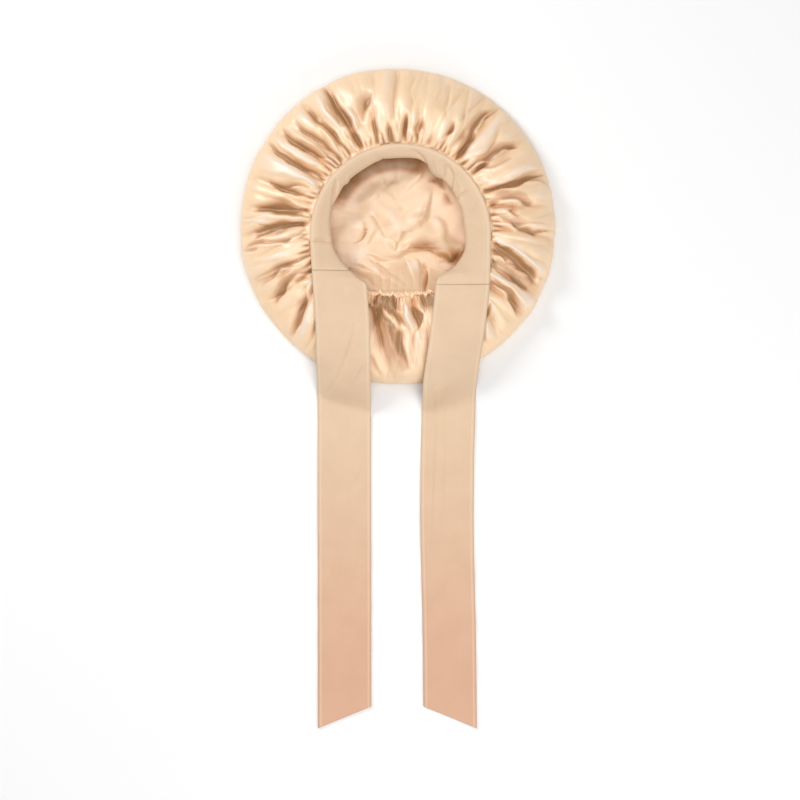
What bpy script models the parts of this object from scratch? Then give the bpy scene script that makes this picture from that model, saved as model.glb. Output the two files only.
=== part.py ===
"""A satin sleep bonnet with a wide tie band, lying flat with its open side up.

The crown is one big round of satin. Its underside lies on the floor, its rim turns over
softly, and its edge is gathered to a small mouth. A lining of the same satin lies inside.
The front and sides of the mouth are bound by a wide band that droops into the hollow and
runs on as two long ties. At the nape the gathers are held by a frilled elastic casing.
Metres, +Z up, +Y towards the forehead, origin on the floor midway between rim and tie points.
"""

import math

import bpy
import numpy as np

# Driving sizes
CROWN_RADIUS = 0.180
LOFT = 0.050
CROWN_WALL = 0.0015
LINING_WALL = 0.0012
MOUTH_RADIUS = 0.103
MOUTH_CENTRE = (0.0034, -0.0113)
NAPE_DISTANCE = 0.080
NAPE_DIP = 0.0074
CREASE_DEPTH = 0.018
RUFFLE_HEIGHT = 0.0022
PANEL_FOLD_HEIGHT = 0.0045
BAND_WIDTH = 0.0615
BAND_WALL = 0.0022
SEAM_LAP = 0.003
TIE_REACH = 0.580
TIE_POINT = 0.027
CASING_WIDTH = 0.0055
CASING_HEIGHT = 0.0050
CASING_SPREAD = 37.0
GAP = 0.0003

# How finely the pieces are faceted
CROWN_SIDES = 108
LINING_SIDES = 48
BAND_STATIONS = 45
TIE_STATIONS = 20
CASING_STATIONS = 45
CASING_SIDES = 5
STRIP_COLUMNS = (0.0, 0.05, 0.18, 0.38, 0.56, 0.70, 0.84, 1.0)
STRIP_SAMPLES = 1200

RUFFLES = 36
CASING_FRILLS = 17
RIM_WAVES = ((3, 0.0032, 0.6), (5, 0.0026, 2.1), (8, 0.0018, 4.0))

# The crown's section from its seam to where it meets the floor: out is the share of the
# skirt's width from the seam to the rim, up the share of LOFT, fold how much it creases.
CROWN_SECTION = (
    ("out", "up", "fold"),
    (0.000, 0.860, 0.00),
    (0.045, 0.905, 0.55),
    (0.105, 0.950, 0.95),
    (0.190, 0.985, 1.00),
    (0.300, 1.000, 1.00),
    (0.440, 0.975, 1.00),
    (0.600, 0.895, 1.00),
    (0.760, 0.765, 0.95),
    (0.890, 0.600, 0.70),
    (0.972, 0.410, 0.30),
    (1.000, 0.235, 0.08),
    (0.980, 0.085, 0.00),
    (0.925, 0.000, 0.00),
)

# The lining's section in the same terms, for the sides and for the nape, where it slumps
# straight into the mouth. Its last row lies on the crown's floor.
LINING_SECTION = (
    ("side_out", "side_up", "nape_out", "nape_up"),
    (0.050, 0.690, -0.030, 0.560),
    (0.200, 0.540, -0.100, 0.430),
    (0.450, 0.470, -0.185, 0.300),
    (0.700, 0.420, -0.260, 0.185),
    (0.880, 0.300, -0.320, 0.095),
    (0.915, 0.150, -0.375, 0.040),
    (0.860, 0.000, -0.440, 0.000),
)
LINING_PANEL_RINGS = (0.80, 0.62, 0.44, 0.26, 0.12)
NAPE_SLUMP = 0.42
NAPE_SPREAD = 34.0
SLUMP_SPREAD = 50.0

# Creases of the gathered skirt, charted by bearing in degrees from +X: sweep is how far
# the crease turns by its outer end, reach its length as a share of the skirt's width,
# depth a share of CREASE_DEPTH, and width its half width in degrees at the seam.
CREASES = (
    ("bearing", "sweep", "reach", "depth", "width"),
    (10.7, -5.0, 0.80, 0.90, 3.2),
    (19.6, -1.0, 0.95, 0.70, 2.6),
    (35.2, -2.2, 0.82, 1.00, 3.4),
    (48.0, 3.3, 0.92, 1.00, 3.8),
    (59.5, 1.5, 0.45, 0.60, 2.6),
    (69.5, -0.5, 0.60, 0.45, 2.8),
    (77.0, 0.0, 0.35, 0.40, 2.4),
    (85.0, 0.5, 0.50, 0.70, 2.6),
    (95.0, 0.0, 0.28, 0.40, 2.4),
    (104.5, -3.0, 0.70, 0.60, 3.2),
    (115.5, 2.3, 0.82, 1.00, 3.4),
    (123.5, 4.8, 0.85, 0.80, 2.8),
    (131.5, 6.5, 0.80, 0.60, 2.6),
    (139.0, 4.6, 0.86, 0.85, 2.8),
    (150.3, -2.0, 0.92, 0.90, 3.0),
    (163.5, -2.0, 0.75, 0.80, 3.2),
    (171.5, 3.5, 0.85, 1.00, 3.6),
    (179.8, 4.7, 0.92, 0.95, 3.4),
    (187.5, 7.0, 0.80, 0.60, 2.8),
    (198.0, 9.0, 0.72, 0.50, 3.0),
    (208.0, 5.5, 0.80, 0.80, 3.2),
    (218.0, 7.0, 0.78, 0.90, 3.4),
    (228.0, 8.0, 0.85, 0.60, 3.0),
    (240.0, 4.0, 0.60, 0.30, 3.2),
    (252.5, 19.0, 0.80, 0.90, 4.2),
    (266.5, 10.0, 0.50, 0.45, 3.0),
    (281.5, 0.0, 0.38, 0.85, 4.4),
    (289.0, -8.0, 0.75, 0.45, 3.4),
    (303.0, -3.0, 0.60, 0.30, 3.2),
    (319.5, -9.0, 0.75, 0.70, 3.2),
    (326.5, -2.5, 0.86, 0.90, 3.0),
    (338.0, -7.0, 0.92, 0.80, 3.0),
    (347.5, -11.0, 0.86, 1.00, 3.6),
    (357.5, -3.5, 0.92, 0.90, 3.2),
)

# Soft folds on the lining's floor, seen through the mouth: both ends as shares of
# MOUTH_RADIUS from the crown's centre, height of PANEL_FOLD_HEIGHT, width of MOUTH_RADIUS.
PANEL_FOLDS = (
    ("x0", "y0", "x1", "y1", "height", "width"),
    (0.36, 0.34, 0.08, -0.16, 0.80, 0.085),
    (-0.24, -0.06, -0.02, 0.12, 0.60, 0.090),
    (-0.36, 0.08, -0.42, -0.20, 0.55, 0.070),
    (-0.20, -0.28, 0.20, -0.25, 0.75, 0.080),
    (0.20, -0.25, 0.46, -0.34, 1.00, 0.085),
    (-0.42, -0.44, -0.12, -0.66, 0.70, 0.080),
    (-0.10, -0.36, 0.06, -0.66, 0.60, 0.075),
    (0.32, -0.42, 0.27, -0.66, 0.80, 0.070),
)

# The tie band's sections by turn, the bearing about MOUTH_CENTRE, which runs on down the
# straight sides at the same pace. Tilt is how far its shown part leans into the mouth, in
# degrees, fold the share of BAND_WIDTH past which the rest is tucked back under, and drop
# how far it reaches down, as a share of the way from the seam to the lining's floor.
BAND_SECTIONS = (
    ("turn", "tilt", "fold", "drop"),
    (-46.0, 0.0, 1.00, 0.00),
    (-36.0, 2.0, 1.00, 0.03),
    (-27.0, 9.0, 0.90, 0.22),
    (-19.0, 17.0, 0.66, 0.50),
    (-7.0, 22.0, 0.51, 0.66),
    (8.0, 23.0, 0.53, 0.66),
    (25.0, 24.0, 0.49, 0.68),
    (46.0, 26.0, 0.45, 0.70),
    (66.0, 27.0, 0.36, 0.72),
    (80.0, 27.0, 0.28, 0.74),
    (92.0, 27.0, 0.28, 0.74),
    (120.0, 26.0, 0.31, 0.73),
    (150.0, 25.0, 0.34, 0.72),
    (178.0, 23.0, 0.42, 0.69),
    (188.0, 21.0, 0.46, 0.66),
    (197.0, 17.0, 0.58, 0.54),
    (205.0, 11.0, 0.78, 0.32),
    (212.0, 5.0, 0.93, 0.13),
    (220.0, 0.0, 1.00, 0.00),
    (230.0, 0.0, 1.00, 0.00),
)
LAP_BEND = 0.13
CURL_BEND = 0.09
TUCKED_HEADING = 160.0
LEFT_JOIN, RIGHT_JOIN = 203.0, -32.0
CUT_SPREAD = 4.0

# The outer edge of the straight sides and ties: along is the share of the way from the
# mouth's widest place to the tie's point, left and right the shares of MOUTH_RADIUS.
SIDE_EDGES = (
    ("along", "left", "right"),
    (0.00, 1.000, 1.000),
    (0.10, 0.968, 0.985),
    (0.20, 0.936, 0.925),
    (0.31, 0.931, 0.850),
    (0.57, 0.930, 0.824),
    (0.82, 0.928, 0.850),
    (1.00, 0.928, 0.860),
)
DRAPE_RADIUS = 0.030
DRAPE_EASE = 0.008

SATIN_COLOUR = (0.93, 0.72, 0.50, 1.0)
LINING_COLOUR = (0.95, 0.77, 0.58, 1.0)
BAND_COLOUR = (0.80, 0.60, 0.41, 1.0)


def column(table, name):
    """One named column of a table whose first row holds the names."""
    place = table[0].index(name)
    return np.array([row[place] for row in table[1:]], float)


def read_smoothly(table, key, name, at):
    """A column read along a key column, with no overshoot between its rows."""
    keys, values = column(table, key), column(table, name)
    steps = np.diff(keys)
    slopes = np.diff(values) / steps
    tangents = np.zeros(len(keys))
    same_way = slopes[:-1] * slopes[1:] > 0
    inner = np.zeros(len(slopes) - 1)
    inner[same_way] = 2 * slopes[:-1][same_way] * slopes[1:][same_way]
    inner[same_way] /= (slopes[:-1] + slopes[1:])[same_way]
    tangents[1:-1] = inner
    at = np.clip(np.asarray(at, float), keys[0], keys[-1])
    i = np.clip(np.searchsorted(keys, at, side="right") - 1, 0, len(steps) - 1)
    t = (at - keys[i]) / steps[i]
    rise = values[i + 1] - values[i]
    start, end = tangents[i] * steps[i], tangents[i + 1] * steps[i]
    return values[i] + t * start + t**2 * (3 * rise - 2 * start - end) + t**3 * (start + end - 2 * rise)


def smoothstep(low, high, value):
    t = np.clip((value - low) / (high - low), 0, 1)
    return t * t * (3 - 2 * t)


def turned(angle):
    """An angle in degrees brought to within half a turn of zero."""
    return (angle + 180) % 360 - 180


def seam_radius(bearing):
    """Distance from the crown's centre to the seam: a round front cut off by the nape."""
    a = np.radians(bearing)
    x, y = np.cos(a), np.sin(a)
    towards = x * MOUTH_CENTRE[0] + y * MOUTH_CENTRE[1]
    offset = MOUTH_CENTRE[0] ** 2 + MOUTH_CENTRE[1] ** 2
    front = towards + np.sqrt(towards**2 - offset + MOUTH_RADIUS**2)
    nape = NAPE_DISTANCE / np.maximum(-y, 1e-3)
    sharpness = 8
    return (front**-sharpness + nape**-sharpness) ** (-1 / sharpness)


def rim_radius(bearing):
    """The crown's outline from above, round but for the slight waves of soft cloth."""
    a = np.radians(bearing)
    waves = sum(size * np.cos(count * a + start) for count, size, start in RIM_WAVES)
    return CROWN_RADIUS * (1 + waves)


def nape_share(bearing, spread=NAPE_SPREAD):
    """1 at the middle of the nape, fading to 0 at the sides."""
    return np.exp(-((turned(bearing - 270) / spread) ** 4))


def seam_height(bearing):
    """Height of the crown's gathered edge, which dips at the unbound nape."""
    return CROWN_SECTION[1][1] * LOFT - NAPE_DIP * nape_share(bearing)


def skirt_dip(bearing, out):
    """How much lower the skirt lies by the nape, where its gathered edge is unbound."""
    return NAPE_DIP * nape_share(bearing) * (1 - smoothstep(0.0, 0.7, out))


def crease_field(bearing, out):
    """How far the skirt is pressed in, in metres, at a bearing and a share of its width."""
    pressed = np.zeros(np.broadcast(bearing, out).shape)
    for start, sweep, reach, depth, width in CREASES[1:]:
        along = np.clip(out / reach, 0, None)
        away = turned(bearing - start - sweep * along)
        wide = width * (1 + 0.55 * along)
        fade = 1 - smoothstep(0.50, 1.05, along)
        pressed = pressed + depth * fade * np.exp(-np.abs(away / wide) ** 1.7)
    ruffle = np.sin(np.radians(bearing * RUFFLES) + 1.6 * np.sin(np.radians(bearing * 5)))
    near_seam = np.exp(-(((out - 0.09) / 0.10) ** 2))
    return CREASE_DEPTH * pressed - RUFFLE_HEIGHT * ruffle * near_seam


def base_height(out, bearing):
    """The skirt's height before it is creased, read from the crown's section."""
    down_to_rim = CROWN_SECTION[:column(CROWN_SECTION, "out").argmax() + 2]
    return LOFT * read_smoothly(down_to_rim, "out", "up", out) - skirt_dip(bearing, out)


def ring_grid(outs, heights, bearings):
    """Points of rings about the crown's centre: one row a ring, one column a bearing."""
    seam, rim = seam_radius(bearings), rim_radius(bearings)
    radii = seam + outs * (rim - seam)
    a = np.radians(bearings)
    return np.stack([radii * np.cos(a), radii * np.sin(a), heights], axis=-1)


def grid_normals(grid, wraps):
    """Unit normals of a grid of points, taken from its neighbours both ways."""
    down = np.gradient(grid, axis=0)
    if wraps:
        across = np.roll(grid, -1, axis=1) - np.roll(grid, 1, axis=1)
    else:
        across = np.gradient(grid, axis=1)
    normals = np.cross(down, across)
    return normals / np.linalg.norm(normals, axis=-1, keepdims=True)


def add_mesh(name, points, faces, colour, roughness):
    """A named object with its own material, set so that the whole lies centred on the origin."""
    mesh = bpy.data.meshes.new(name)
    mesh.from_pydata([tuple(p) for p in points], [], faces)
    mesh.update()
    mesh.shade_smooth()
    material = bpy.data.materials.new(name)
    material.use_nodes = True
    shader = material.node_tree.nodes["Principled BSDF"]
    shader.inputs["Base Color"].default_value = colour
    shader.inputs["Roughness"].default_value = roughness
    shader.inputs["Metallic"].default_value = 0.0
    mesh.materials.append(material)
    piece = bpy.data.objects.new(name, mesh)
    piece.location.y = (TIE_REACH - CROWN_RADIUS) / 2
    bpy.context.collection.objects.link(piece)
    return piece


def bowl_faces(rings, sides, centred):
    """Faces of a cloth bowl: an upper and a lower skin of rings, joined at the mouth.

    Each skin is closed at its last ring by a flat cap, or by a fan when it has a centre.
    """
    skin = rings * sides + (1 if centred else 0)
    faces = []
    for layer in (0, skin):
        for ring in range(rings - 1):
            for side in range(sides):
                a = layer + ring * sides + side
                b = layer + ring * sides + (side + 1) % sides
                quad = (a, b, b + sides, a + sides)
                faces.append(quad if layer else quad[::-1])
        last = layer + (rings - 1) * sides
        if centred:
            for side in range(sides):
                tri = (last + side, last + (side + 1) % sides, layer + rings * sides)
                faces.append(tri if layer else tri[::-1])
        else:
            cap = tuple(last + side for side in range(sides))
            faces.append(cap if layer else cap[::-1])
    for side in range(sides):
        a, b = side, (side + 1) % sides
        faces.append((a, b, b + skin, a + skin))
    return faces


def make_crown():
    """The satin round: flat underneath, soft at the rim, creased and gathered on top."""
    bearings = np.arange(CROWN_SIDES) * 360 / CROWN_SIDES
    outs, ups, folds = (column(CROWN_SECTION, name)[:, None] for name in CROWN_SECTION[0])
    base = ring_grid(outs, LOFT * ups - skirt_dip(bearings, outs), bearings)
    normals = grid_normals(base, wraps=True)
    pressed = folds * crease_field(bearings, outs)
    outer = base - normals * pressed[..., None]
    lap = outer[0].copy()
    lap[:, :2] *= (1 - SEAM_LAP / seam_radius(bearings))[:, None]
    outer = np.concatenate([lap[None], outer])
    normals = grid_normals(outer, wraps=True)
    normals[0] = normals[1] = (0, 0, 1)
    normals[-1] = (0, 0, -1)
    inner = outer - CROWN_WALL * normals
    inner[-1, :, :2] *= (1 - CROWN_WALL / CROWN_RADIUS)
    points = np.concatenate([outer.reshape(-1, 3), inner.reshape(-1, 3)])
    faces = bowl_faces(len(outer), CROWN_SIDES, centred=False)
    return add_mesh("crown", points, faces, SATIN_COLOUR, 0.32)


def lining_floor():
    """Height of the lining's underside where it lies on the crown."""
    return CROWN_WALL + GAP


def panel_height(x, y):
    """Height of the soft folds on the lining's floor above the place where it lies flat."""
    height = np.zeros(np.broadcast(x, y).shape)
    for x0, y0, x1, y1, tall, wide in PANEL_FOLDS[1:]:
        start = np.array((x0, y0)) * MOUTH_RADIUS
        run = np.array((x1, y1)) * MOUTH_RADIUS - start
        along = ((x - start[0]) * run[0] + (y - start[1]) * run[1]) / (run @ run)
        nearest = np.clip(along, 0, 1)
        away = np.hypot(x - start[0] - nearest * run[0], y - start[1] - nearest * run[1])
        height = height + tall * np.exp(-((away / (wide * MOUTH_RADIUS)) ** 2))
    fade = 1 - smoothstep(0.62, 0.80, np.hypot(x, y) / MOUTH_RADIUS)
    return PANEL_FOLD_HEIGHT * np.minimum(height, 1.1) * fade


def make_lining():
    """The inner satin: it hangs from the seam, lies on the crown's floor and folds there."""
    bearings = np.arange(LINING_SIDES) * 360 / LINING_SIDES
    nape = nape_share(bearings, SLUMP_SPREAD)
    side_out, side_up, nape_out, nape_up = (
        column(LINING_SECTION, name)[:, None] for name in LINING_SECTION[0]
    )
    floor = lining_floor()
    outs = side_out + (nape_out - side_out) * nape
    heights = (side_up + (nape_up - side_up) * nape) * (LOFT - floor) + floor
    walls = ring_grid(outs, heights, bearings)
    edge_radius = seam_radius(bearings) - SEAM_LAP
    a = np.radians(bearings)
    edge_height = seam_height(bearings) - CROWN_WALL - GAP
    edge = np.stack([edge_radius * np.cos(a), edge_radius * np.sin(a), edge_height], axis=-1)
    rings = []
    for share in LINING_PANEL_RINGS:
        radius = share * (NAPE_DISTANCE - SEAM_LAP) * (1 - NAPE_SLUMP * nape)
        x, y = radius * np.cos(a), radius * np.sin(a)
        rings.append(np.stack([x, y, floor + panel_height(x, y)], axis=-1))
    under = np.concatenate([edge[None], walls, np.array(rings)])
    normals = grid_normals(under, wraps=True)
    normals[0] = (0, 0, 1)
    normals[len(walls):] = (0, 0, -1)
    shift = LINING_WALL * normals
    centre = np.array([[0, 0, floor + panel_height(0.0, 0.0)]])
    outer = np.concatenate([under.reshape(-1, 3), centre])
    inner = np.concatenate([(under - shift).reshape(-1, 3), centre + [[0, 0, LINING_WALL]]])
    faces = bowl_faces(len(under), LINING_SIDES, centred=True)
    return add_mesh("lining", np.concatenate([outer, inner]), faces, LINING_COLOUR, 0.30)


def cloth_strip(name, grid, normals, wall, colour, roughness):
    """A strip of cloth with a wall about a grid of points, closed at its four edges."""
    rows, columns = grid.shape[:2]
    upper, lower = grid + normals * wall / 2, grid - normals * wall / 2
    points = np.concatenate([upper.reshape(-1, 3), lower.reshape(-1, 3)])
    skin = rows * columns
    faces = []
    for row in range(rows - 1):
        for col in range(columns - 1):
            a = row * columns + col
            quad = (a, a + columns, a + columns + 1, a + 1)
            faces.append(quad)
            faces.append(tuple(i + skin for i in quad[::-1]))
    border = [row * columns for row in range(rows)]
    border += [(rows - 1) * columns + col for col in range(1, columns)]
    border += [row * columns + columns - 1 for row in range(rows - 2, -1, -1)]
    border += [col for col in range(columns - 2, 0, -1)]
    for a, b in zip(border, border[1:] + border[:1]):
        faces.append((b, a, a + skin, b + skin))
    return add_mesh(name, points, faces, colour, roughness)


def edge_and_inward(turn):
    """The band's outer edge in plan and the way across it towards the free edge."""
    a = np.radians(np.clip(turn, 0, 180))
    edge = np.stack([np.cos(a), np.sin(a)], axis=-1)
    inward = -edge
    below = np.radians(np.maximum(turn - 180, 0) + np.maximum(-turn, 0)) * MOUTH_RADIUS
    length = TIE_REACH + MOUTH_CENTRE[1]
    left = read_smoothly(SIDE_EDGES, "along", "left", below / length)
    right = read_smoothly(SIDE_EDGES, "along", "right", below / length)
    on_side = below > 0
    edge[:, 0] = np.where(on_side, np.where(turn > 90, -left, right), edge[:, 0])
    plan = edge * (MOUTH_RADIUS - GAP) + MOUTH_CENTRE
    plan[:, 1] = np.where(on_side, MOUTH_CENTRE[1] - below, plan[:, 1])
    return plan, inward


def turn_of_reach(side):
    """The turn at which a side's outer edge gets to its tie's point."""
    degrees = math.degrees((TIE_REACH + MOUTH_CENTRE[1]) / MOUTH_RADIUS)
    return 180 + degrees if side == "left" else -degrees


def support_height(x, y):
    """Height of what the band and ties lie on: the puffed skirt, the casing or the floor."""
    bearing = np.degrees(np.arctan2(y, x))
    radius = np.hypot(x, y)
    seam, rim = seam_radius(bearing), rim_radius(bearing)
    out = (radius - seam) / (rim - seam)
    puffs = RUFFLE_HEIGHT * np.exp(-(((out - 0.09) / 0.12) ** 2)) * smoothstep(0, 0.05, out)
    skirt = base_height(np.clip(out, 0, 1), bearing) + puffs
    inside = seam_height(bearing) + np.where(casing_taper(bearing) > 0, GAP + CASING_HEIGHT, 0)
    return np.where(out > 1, 0, np.where(out > 0, np.maximum(skirt, inside * (out < 0.08)), inside))


def band_profile(turns, shares):
    """How far in and how far down the band's sections have got at shares of its width.

    Each section is walked from the seam by its heading, so the cloth keeps its full width.
    """
    tilt = np.radians(read_smoothly(BAND_SECTIONS, "turn", "tilt", turns))[:, None]
    fold = read_smoothly(BAND_SECTIONS, "turn", "fold", turns)[:, None]
    drop = read_smoothly(BAND_SECTIONS, "turn", "drop", turns)
    walk = np.linspace(0, 1, 81)
    lap = (SEAM_LAP - GAP) / BAND_WIDTH
    curl = (math.radians(TUCKED_HEADING) - tilt) * smoothstep(0.02, 0.20, 1 - fold)
    heading = tilt * smoothstep(lap, lap + LAP_BEND, walk)
    heading = heading + curl * smoothstep(fold - CURL_BEND, fold + CURL_BEND, walk)
    step = BAND_WIDTH * walk[1]
    inward = np.zeros(heading.shape)
    down = np.zeros(heading.shape)
    inward[:, 1:] = np.cumsum(np.cos(heading[:, 1:]), axis=1) * step
    down[:, 1:] = np.cumsum(np.sin(heading[:, 1:]), axis=1) * step
    hollow = CROWN_SECTION[1][1] * LOFT - lining_floor() - LINING_WALL - GAP
    down *= (drop * hollow / np.maximum(down.max(axis=1), 1e-6))[:, None]
    at = np.searchsorted(walk, shares, side="left")
    return inward[:, at], down[:, at], drop


def strip_surface():
    """The whole tie band from point to point: fine turns, its middle surface and normals."""
    fine = np.linspace(turn_of_reach("right"), turn_of_reach("left"), STRIP_SAMPLES)
    plan, across = edge_and_inward(fine)
    inward, down, drop = band_profile(fine, STRIP_COLUMNS)
    along = np.radians(fine) * MOUTH_RADIUS
    near = np.abs(along[:, None] - along[None, :])
    kernel = np.exp(-((near / DRAPE_EASE) ** 2))
    kernel /= kernel.sum(axis=1, keepdims=True)
    lying = 1 - smoothstep(0.0, 0.22, drop)
    on_side = (fine < 0) | (fine > 180)
    surface = []
    for col, share in enumerate(STRIP_COLUMNS):
        xy = plan + across * inward[:, col:col + 1]
        past_nape = -(xy[:, 1] + NAPE_DISTANCE) / TIE_REACH
        shorten = TIE_POINT * share * smoothstep(0.1, 1.0, past_nape)
        xy[:, 1] += np.where(on_side, shorten, 0)
        held = support_height(xy[:, 0], xy[:, 1])
        arched = (held[None, :] - near**2 / (2 * DRAPE_RADIUS)).max(axis=1)
        draped = kernel @ np.maximum(arched, 0)
        eased_down = DRAPE_EASE**2 / (4 * DRAPE_RADIUS)
        draped += (GAP + eased_down) * smoothstep(0, LOFT / 10, draped)
        if col == 0:
            seam = draped
        height = draped * lying + (seam - down[:, col]) * (1 - lying)
        surface.append(np.column_stack([xy, height + BAND_WALL / 2]))
    surface = np.stack(surface, axis=1)
    normals = grid_normals(surface, wraps=False)
    for join in (LEFT_JOIN, RIGHT_JOIN):
        square_cut = np.exp(-(((fine - join) / CUT_SPREAD) ** 2))
        normals[..., 1] *= 1 - square_cut[:, None]
    normals /= np.linalg.norm(normals, axis=-1, keepdims=True)
    return fine, surface, normals


def make_strip(name, strip, turns):
    """The stretch of the tie band between two turns, as a strip of cloth with a wall."""
    fine, surface, normals = strip
    picked = []
    for field in (surface, normals):
        flat = field.reshape(len(fine), -1)
        rows = np.stack([np.interp(turns, fine, flat[:, i]) for i in range(flat.shape[1])], axis=1)
        picked.append(rows.reshape(len(turns), field.shape[1], 3))
    return cloth_strip(name, picked[0], picked[1], BAND_WALL, BAND_COLOUR, 0.55)


def make_band_and_ties():
    """The band that binds the front of the mouth, and a tie butted to each of its ends."""
    strip = strip_surface()
    make_strip("head_band", strip, np.linspace(RIGHT_JOIN, LEFT_JOIN, BAND_STATIONS))
    join_gap = math.degrees(GAP / MOUTH_RADIUS)
    spacing = np.linspace(0, 1, TIE_STATIONS) ** 1.5
    for side, join, way in (("left", LEFT_JOIN, 1), ("right", RIGHT_JOIN, -1)):
        start = join + way * join_gap
        turns = np.sort(start + (turn_of_reach(side) - start) * spacing)
        make_strip(f"tie_{side}", strip, turns)


def casing_taper(bearing):
    """How full the casing is: 1 along the nape, 0 from CASING_SPREAD degrees to its sides."""
    return smoothstep(0, 0.12, 1 - np.abs(turned(bearing - 270)) / CASING_SPREAD)


def make_nape_casing():
    """The frilled channel round the nape's elastic, seated on the crown's gathered edge."""
    along = np.linspace(-1, 1, CASING_STATIONS)
    bearings = 270 + CASING_SPREAD * along
    frill = np.sin(math.pi * CASING_FRILLS * along)
    full = 0.5 + 0.5 * casing_taper(bearings)
    radius = seam_radius(bearings) - SEAM_LAP / 2
    a = np.radians(bearings)
    centre = np.stack([radius * np.cos(a), radius * np.sin(a)], axis=-1)
    outward = np.stack([np.cos(a), np.sin(a)], axis=-1)
    tall = CASING_HEIGHT * full * (0.90 + 0.10 * frill)
    wide = CASING_WIDTH * full * (0.88 - 0.12 * frill)
    bottom = seam_height(bearings) + GAP
    rings = []
    for side in range(CASING_SIDES):
        around = 2 * math.pi * side / CASING_SIDES + math.pi / 2
        plan = centre + outward * (wide / 2 * math.cos(around))[:, None]
        height = bottom + tall * (0.5 + 0.5 * math.sin(around))
        rings.append(np.column_stack([plan, height]))
    points = np.stack(rings, axis=1).reshape(-1, 3)
    faces = [tuple(range(CASING_SIDES))]
    for station in range(CASING_STATIONS - 1):
        for side in range(CASING_SIDES):
            a0 = station * CASING_SIDES + side
            a1 = station * CASING_SIDES + (side + 1) % CASING_SIDES
            faces.append((a0, a0 + CASING_SIDES, a1 + CASING_SIDES, a1))
    last = (CASING_STATIONS - 1) * CASING_SIDES
    faces.append(tuple(last + side for side in range(CASING_SIDES))[::-1])
    return add_mesh("nape_casing", points, faces, SATIN_COLOUR, 0.35)


def main():
    for old in list(bpy.data.objects):
        bpy.data.objects.remove(old)
    make_crown()
    make_lining()
    make_band_and_ties()
    make_nape_casing()


main()
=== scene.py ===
"""The satin sleep bonnet as it lies on a pale table, open side up, with its ties drawn straight."""

import bpy
import numpy as np
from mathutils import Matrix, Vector


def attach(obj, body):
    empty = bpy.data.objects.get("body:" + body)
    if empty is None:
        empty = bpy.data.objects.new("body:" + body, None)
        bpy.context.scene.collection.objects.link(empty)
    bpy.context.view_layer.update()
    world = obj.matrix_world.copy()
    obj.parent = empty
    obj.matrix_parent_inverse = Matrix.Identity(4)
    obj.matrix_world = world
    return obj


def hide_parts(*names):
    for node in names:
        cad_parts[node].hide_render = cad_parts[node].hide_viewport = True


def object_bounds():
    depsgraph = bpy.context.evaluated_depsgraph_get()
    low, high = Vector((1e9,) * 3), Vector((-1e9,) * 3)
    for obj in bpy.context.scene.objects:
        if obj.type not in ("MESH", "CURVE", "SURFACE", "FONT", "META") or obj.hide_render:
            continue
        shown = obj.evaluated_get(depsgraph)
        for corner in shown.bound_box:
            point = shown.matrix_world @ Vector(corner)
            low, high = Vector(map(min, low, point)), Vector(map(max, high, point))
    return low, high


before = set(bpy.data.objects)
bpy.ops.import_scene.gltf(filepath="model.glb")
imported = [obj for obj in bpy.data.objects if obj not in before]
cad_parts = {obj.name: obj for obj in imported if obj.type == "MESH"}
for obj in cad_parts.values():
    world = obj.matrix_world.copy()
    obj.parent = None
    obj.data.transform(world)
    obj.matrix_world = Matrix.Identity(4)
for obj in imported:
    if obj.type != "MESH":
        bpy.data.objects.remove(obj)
cad_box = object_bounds()

# The table and the light
# A pale table lit from the upper left and from overhead, as in a product photograph, with a
# weaker lamp opposite. The camera looks straight down, with the ties towards the bottom.
TABLE_SIZE = 6.0
TABLE_GAP = 0.0004
TABLE_WHITE = (0.93, 0.93, 0.93, 1.0)
STUDIO_STRENGTH = 0.34
SEEN_WIDTH = 0.9144
SENSOR_WIDTH = 36.0
CAMERA_DISTANCE = 2.25
CAMERA_PLACE = (0.0029, 0.0, 2.28)
LAMPS = (
    ("name", "x", "y", "z", "size", "watts"),
    ("window", -1.35, 1.25, 1.45, 0.9, 21.0),
    ("overhead", 0.30, -0.10, 2.60, 2.2, 31.0),
    ("reflector", 0.90, -1.42, 1.10, 1.4, 12.0),
)


def fill(tree, socket, value):
    """Gives a socket its value, which may be the output of another node."""
    if isinstance(value, bpy.types.NodeSocket):
        tree.links.new(value, socket)
    else:
        socket.default_value = value


def new_material(name, **values):
    """A material whose Principled BSDF has the given values."""
    material = bpy.data.materials.new(name)
    material.use_nodes = True
    tree = material.node_tree
    for key, value in values.items():
        fill(tree, tree.nodes["Principled BSDF"].inputs[key.replace("_", " ")], value)
    return material


bpy.ops.object.select_all(action="DESELECT")
bpy.ops.mesh.primitive_plane_add(size=TABLE_SIZE, location=(0, 0, cad_box[0][2] - TABLE_GAP))
table = bpy.context.object
table.name = "table"
table.data.materials.append(new_material("table_white", Base_Color=TABLE_WHITE, Roughness=0.9))

for lamp_name, x, y, z, size, watts in LAMPS[1:]:
    lamp = bpy.data.lights.new(lamp_name, "AREA")
    lamp.shape = "DISK"
    lamp.size = size
    lamp.energy = watts
    holder = bpy.data.objects.new(lamp_name, lamp)
    holder.location = (x, y, z)
    holder.rotation_euler = (-Vector((x, y, z))).to_track_quat("-Z", "Y").to_euler()
    bpy.context.collection.objects.link(holder)

studio = bpy.data.worlds.new("studio")
studio.use_nodes = True
background = studio.node_tree.nodes["Background"]
background.inputs["Color"].default_value = (1.0, 1.0, 1.0, 1.0)
background.inputs["Strength"].default_value = STUDIO_STRENGTH
bpy.context.scene.world = studio
bpy.context.scene.view_settings.view_transform = "Standard"

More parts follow.
